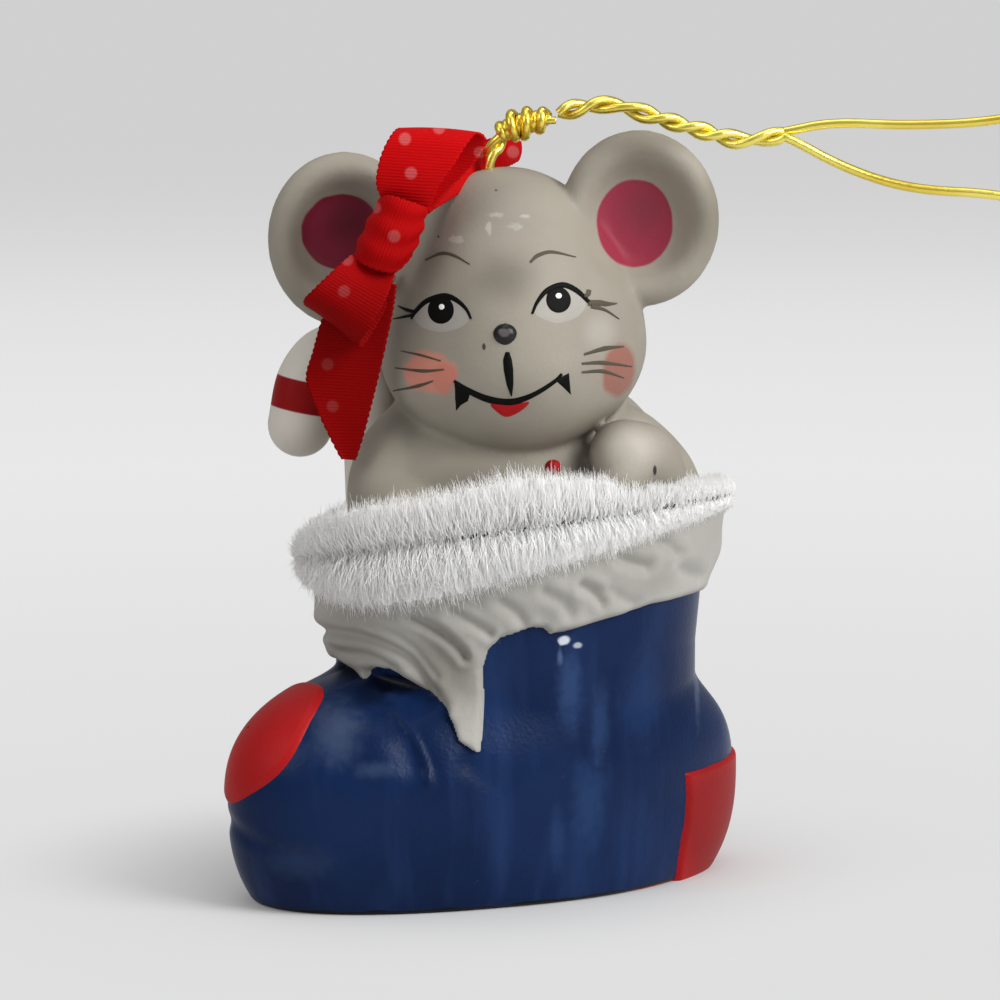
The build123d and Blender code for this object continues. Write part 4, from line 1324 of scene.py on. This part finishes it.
def wire_object():
    """Two thin wires twisted round each other along the mouth."""
    share = np.linspace(0, 1, 1400, endpoint=False)
    a = share * 2 * np.pi * WIRE_TURNS
    across = to_picture(mouth_place(share, 0 * share + WIRE_OUT, 0 * share + WIRE_UP))[:, 0]
    sunk = 0.1 + 0.9 * np.clip((-5.0 - across) / 3.0, 0, 1)
    sunk = sunk + 0.1 * np.sin(share * 190) + 0.08 * np.sin(share * 77)
    grids = []
    for phase in (0, np.pi):
        b = a + phase
        line = mouth_place(share, WIRE_OUT - sunk + 0.4 * np.cos(b), WIRE_UP + 0.2 * np.sin(b))
        ring = tube(np.concatenate([line, line[:1]]), WIRE_RADIUS, 6)
        ring[-1] = ring[0]
        grids.append(ring)
    return joined("stem_wire", grids)


def core_object():
    """Soft lumpy core under the fibres."""
    share, a = np.meshgrid(np.linspace(0, 1, 400, endpoint=False), circle(36), indexing="ij")
    lump = 1 + 0.05 * np.sin(share * 310 + 3 * np.sin(a)) + 0.04 * np.sin(share * 700 + 2 * a)
    part = 1 - 0.3 * np.exp(-(a - np.pi / 2) ** 2 / 0.03)
    tall = CORE_TALL * np.where(np.cos(a) < 0, pile_long(share, True), pile_long(share, False))
    full = np.sign(np.sin(a)) * np.abs(np.sin(a)) ** 0.6
    grid = mouth_place(share, CORE_OUT + CORE_DEEP * full * part * lump, WIRE_UP + tall * np.cos(a) * lump)
    return surface("stem_core", grid, close_u=True, close_v=True)


finish_piece(wire_object(), "figurine", WIRE, "wire", "trim_wire")
finish_piece(core_object(), "figurine", PILE, "pile", "trim_pile")

# %% [markdown]
# Fibres grow in tufts. Each is a thin spike that leaves the wire, leans out and bends back. Three
# rings of three points are enough for something so thin. The draws are seeded, so they never change.

# %% Fibres
TUFTS, FIBRES_EACH, FIRST_SEED = 2600, 8000, 20
FIBRE_RADII = (0.034, 0.03, 0.01)
OVAL_RUN = 115.0


def fibre_grid(count, seed, down):
    """Fibres as thin three-sided spikes, gathered in small tufts, combed up or down."""
    draw = np.random.default_rng(seed)
    tuft_at = np.sort(draw.random(TUFTS))
    tuft_lean = draw.normal(0, 0.13, TUFTS)
    tuft_tilt = draw.normal(0, 0.16, TUFTS)
    tuft_long = draw.normal(1, 0.06, TUFTS)
    k = draw.integers(0, TUFTS, count)
    share = tuft_at[k] + draw.normal(0, 0.0016, count)
    lean = tuft_lean[k] + draw.normal(0, 0.17, count) + 0.42 * np.abs(draw.normal(0, 1, count))
    long = pile_long(share, down) * tuft_long[k] * np.clip(draw.normal(1, 0.11, count), 0.55, 1.2)
    slide = (tuft_tilt[k] + draw.normal(0, 0.16, count)) * long / OVAL_RUN
    s = np.array([0.0, 0.5, 1.0])[None, :]
    outward = WIRE_OUT - 0.3 + long[:, None] * (np.sin(lean)[:, None] * s - 0.42 * s ** 2)
    outward = outward + 0.16 * long[:, None] * s
    outward = outward + draw.normal(0, 0.3, count)[:, None] * (1 - s)
    root = np.abs(draw.normal(0, 0.9, count))[:, None] * (1 - s)
    upward = WIRE_UP + (-1 if down else 1) * (long[:, None] * np.cos(lean)[:, None] * s - 0.4 * root)
    along = share[:, None] + slide[:, None] * s
    spine = mouth_place(along, outward, upward)
    ahead = unit(mouth_place(along + 2e-4, outward, upward) - spine)
    out = mouth_oval(along)[1] @ MOUTH_TURN.T
    width = np.array(FIBRE_RADII)[None, :, None]
    a = np.array([0.5, 2.6, 4.7])[:, None]
    ring = np.cos(a) * ahead[:, :, None] + np.sin(a) * out[:, :, None]
    return spine[:, :, None] + ring * width[..., None]


def fibres(name, count, seed, down):
    """Object of many fibres, each a grid of three rings of three points."""
    grid = fibre_grid(count, seed, down)
    quads = grid_faces(3, 3, False, True)
    if not down:
        quads = quads[:, ::-1]
    quads = quads[None] + (np.arange(count) * 9)[:, None, None]
    tip = np.tile(np.linspace(0, 1, 3)[:, None, None], (1, 3, 1))
    uv = np.broadcast_to(np.concatenate([tip, 0 * tip], -1), (count, 3, 3, 2))
    return mesh_object(name, grid.reshape(-1, 3), quads.reshape(-1, 4), uv.reshape(-1, 2))


for index, down in enumerate((False, False, False, True, True, True)):
    comb = fibres(f"stem_fibres_{index}", FIBRES_EACH, FIRST_SEED + index, down)
    finish_piece(comb, "figurine", PILE, "pile")

# %% [markdown]
# ## Ribbon bow
# A bow of red ribbon with pale dots. A dot pattern on the flat ribbon would not fall where these do,
# so each point of the ribbon keeps its distance to the nearest dot as seen in the picture, and the
# material colours what is close. The cross ribs follow the length of the ribbon.

# %% Ribbon weave
RIB = 0.3
DOTS = [
    (405, 139.5), (411, 173), (439, 129), (376, 208), (394, 236), (347, 260), (344, 291.5), (327.5, 364),
    (332.5, 406), (480, 152), (512, 152),
]


def ribbon_weave():
    """Dots from the distance kept on the ribbon, painted shade on the lower half, and the cross ribs of the
    weave.
    """
    tree = RIBBON.node_tree
    far = feed(tree, "Attribute", (), "Fac", attribute_name="dot_distance")
    overlay(RIBBON, faded(RIBBON, feed(tree, "MapRange", (far, 0.66, 0.46)), 0.45), (0.6, 0.16, 0.16))
    # Painted shade: the ribbon turns darker towards the bottom, where its lengths face down and away from the
    # light.
    level = feed(tree, "SeparateXYZ", (feed(tree, "TexCoord", (), "Object"),), "Z")
    low = feed(tree, "MapRange", (level, 0.069, 0.0555))
    overlay(RIBBON, faded(RIBBON, low, 0.75), (0.12, 0.0006, 0.0006))
    run = feed(tree, "SeparateXYZ", (feed(tree, "UVMap", uv_map="uv"),), "X")
    many = feed(tree, "Math", (run, 2 * math.pi / RIB), operation="MULTIPLY")
    rib = feed(tree, "Math", (many,), operation="SINE")
    bump = feed(tree, "Bump", {"Strength": 0.35, "Distance": 0.00006, "Height": rib})
    give(tree, tree.nodes["Principled BSDF"].inputs["Normal"], bump)


ribbon_weave()
print("dots on the ribbon", len(DOTS))

# %% [markdown]
# Each length of ribbon is a smooth strip through stations. A station is the two edges of the ribbon in
# the picture and how near they lie, which is surer than letting cloth fall. The strip is cupped
# across its width, the knot is pleated, and a picot of small bows runs along both edges.

# %% Bow


def ribbon(name, stations, cad_node, pleats, start, length=110, across=41):
    """Strip through stations (left edge, right edge, depth), with a picot along both edges."""
    left = at_depth([s[0] for s in stations], [s[2] for s in stations])
    right = at_depth([s[1] for s in stations], [s[2] for s in stations])
    left, right = stroke_line(left, length), stroke_line(right, length)
    middle = (left + right) / 2
    run = run_along(middle)
    v = np.linspace(-1, 1, across)
    grid = middle[:, None] + (right - left)[:, None] / 2 * v[None, :, None]
    n = unit(np.cross(np.gradient(grid, axis=0), np.gradient(grid, axis=1)))
    wave = pleats * np.sin(v * 9.0 + 0.6 * np.sin(run * 0.8)[:, None])
    cup = 0.18 * v[None, :] ** 2
    picot = 0.13 * np.abs(np.sin(run * np.pi / 0.62))[:, None] * (np.abs(v) > 0.999)
    side = unit(right - left)
    grid = grid + n * (wave + cup)[..., None] + side[:, None] * (picot * np.sign(v))[..., None]
    uv = np.stack(np.broadcast_arrays((run + start)[:, None], 3.2 * v[None, :]), -1)
    obj = surface(name, grid, uv=uv)
    seen = to_picture(grid.reshape(-1, 3))[:, None] - picture(DOTS)[None]
    far = obj.data.attributes.new("dot_distance", "FLOAT", "POINT")
    far.data.foreach_set("value", np.linalg.norm(seen, axis=-1).min(1))
    thick = obj.modifiers.new("thick", "SOLIDIFY")
    thick.thickness, thick.offset = 0.22 * MM, 0.0
    return finish_piece(obj, "figurine", RIBBON, "ribbon", cad_node)


BOW = [
    ("ribbon_upper", "bow_upper_loop", 0.0, 0.0, [
        ((384, 203), (428, 213), -11.8), ((377, 184), (437, 188), -12.5), ((381, 158), (454, 163), -12.6),
        ((391, 136), (468, 140), -12.0), ((400, 127), (476, 131), -10.4), ((409, 133), (485, 139), -8.8),
        ((406, 155), (474, 162), -8.0), ((402, 182), (448, 190), -8.4), ((392, 207), (428, 214), -9.6),
    ]),
    ("ribbon_lower", "bow_lower_loop", 0.0, 30.0, [
        ((352, 256), (394, 274), -12.2), ((334, 271), (385, 299), -13.6), ((316, 288), (371, 324), -14.0),
        ((306, 299), (360, 340), -13.0), ((311, 304), (364, 344), -11.6), ((331, 290), (380, 318), -11.0),
        ((352, 268), (394, 288), -10.8),
    ]),
    ("ribbon_knot", "bow_knot", 0.1, 52.0, [
        ((386, 206), (360, 252), -10.0), ((379, 199), (352, 256), -11.6), ((389, 196), (361, 263), -13.3),
        ((405, 201), (378, 270), -13.8), ((420, 206), (397, 272), -13.2), ((428, 210), (413, 256), -11.8),
        ((424, 216), (407, 252), -10.2),
    ]),
    ("ribbon_tail", "bow_front_tail", 0.0, 64.0, [
        ((338, 280), (396, 284), -10.7), ((323, 318), (392, 312), -10.5), ((314, 350), (384, 350), -10.1),
        ((307, 379), (376, 384), -9.7), ((318, 410), (369, 412), -9.5), ((331, 438), (362, 438), -9.4),
        ((342, 459), (355, 460), -9.4),
    ]),
    ("ribbon_back", "bow_back_tail", 0.0, 82.0, [
        ((402, 196), (425, 214), -8.6), ((432, 160), (462, 190), -5.2), ((458, 146), (478, 176), -1.3),
        ((478, 141), (490, 170), 1.6), ((502, 139), (507, 166), 3.6), ((522, 142), (520, 160), 6.0),
    ]),
]
GLUE_ROUTE = [(-9.9, -9.6, 58.2), (-9.4, -7.6, 58.1), (-9.0, -5.0, 58.0)]
GLUE_RADII = (0.8, 0.7, 0.8)

for name, cad_node, pleats, start, stations in BOW:
    ribbon(name, stations, cad_node, pleats, start)
glue = joined("glue_dab", [limb_grid(GLUE_ROUTE, GLUE_RADII)])
finish_piece(glue, "figurine", GLUE, "glue", "bow_glue")

# %% [markdown]
# ## Stage
# A flat floor. Near the object it takes shadows, and farther off the camera sees it as a pale
# backdrop that glows in tones that are a painted fall-off of light. A curved backdrop would do the
# same, but its bend shows as a band in the picture.

# %% Floor
FLOOR_HALF = 12000
# Tones of the glowing backdrop by distance: a painted fall-off of light, brightest in a band.
BACKDROP_GLOW = [
    (0.0, 0.73), (0.05, 0.74), (0.19, 0.82), (0.25, 0.81),
    (0.42, 0.76), (0.56, 0.69), (0.75, 0.64), (1.0, 0.63),
]


def floor():
    """Flat floor; far from the object the camera sees it as a pale glowing backdrop with a painted fall-off
    of light.
    """
    x, y = np.meshgrid(*[np.linspace(-FLOOR_HALF, FLOOR_HALF, 3)] * 2, indexing="ij")
    obj = surface("floor", np.stack([x, y, 0 * x], -1))
    mat = bpy.data.materials.new("floor")
    mat.use_nodes = True
    tree = mat.node_tree
    shader = tree.nodes["Principled BSDF"]
    look = {"Base Color": (0.68, 0.68, 0.68, 1), "Roughness": 0.7, "Specular IOR Level": 0.1}
    for key, value in look.items():
        give(tree, shader.inputs[key], value)
    place = feed(tree, "TexCoord", (), "Object")
    far = feed(tree, "VectorMath", (place,), "Value", operation="LENGTH")
    blend = feed(tree, "MapRange", (far, 0.014, 0.055), interpolation_type="SMOOTHSTEP")
    pale = feed(tree, "ValToRGB", (feed(tree, "MapRange", (far, 0.0, 1.6)),))
    ramp = pale.node.color_ramp
    ramp.interpolation = "B_SPLINE"
    for at, tone in BACKDROP_GLOW[1:-1]:
        ramp.elements.new(at).color = (tone, tone, tone, 1)
    for end in (0, -1):
        ramp.elements[end].color = (*[BACKDROP_GLOW[end][1]] * 3, 1)
    seen = feed(tree, "LightPath", (), "Is Camera Ray")
    both = feed(tree, "Math", (blend, seen), operation="MULTIPLY")
    glow = feed(tree, "Emission", {"Color": pale, "Strength": 1.0})
    mix = feed(tree, "MixShader", (both, shader.outputs[0], glow))
    give(tree, tree.nodes["Material Output"].inputs["Surface"], mix)
    obj.data.materials.append(mat)
    print(obj.name, len(obj.data.polygons))


floor()
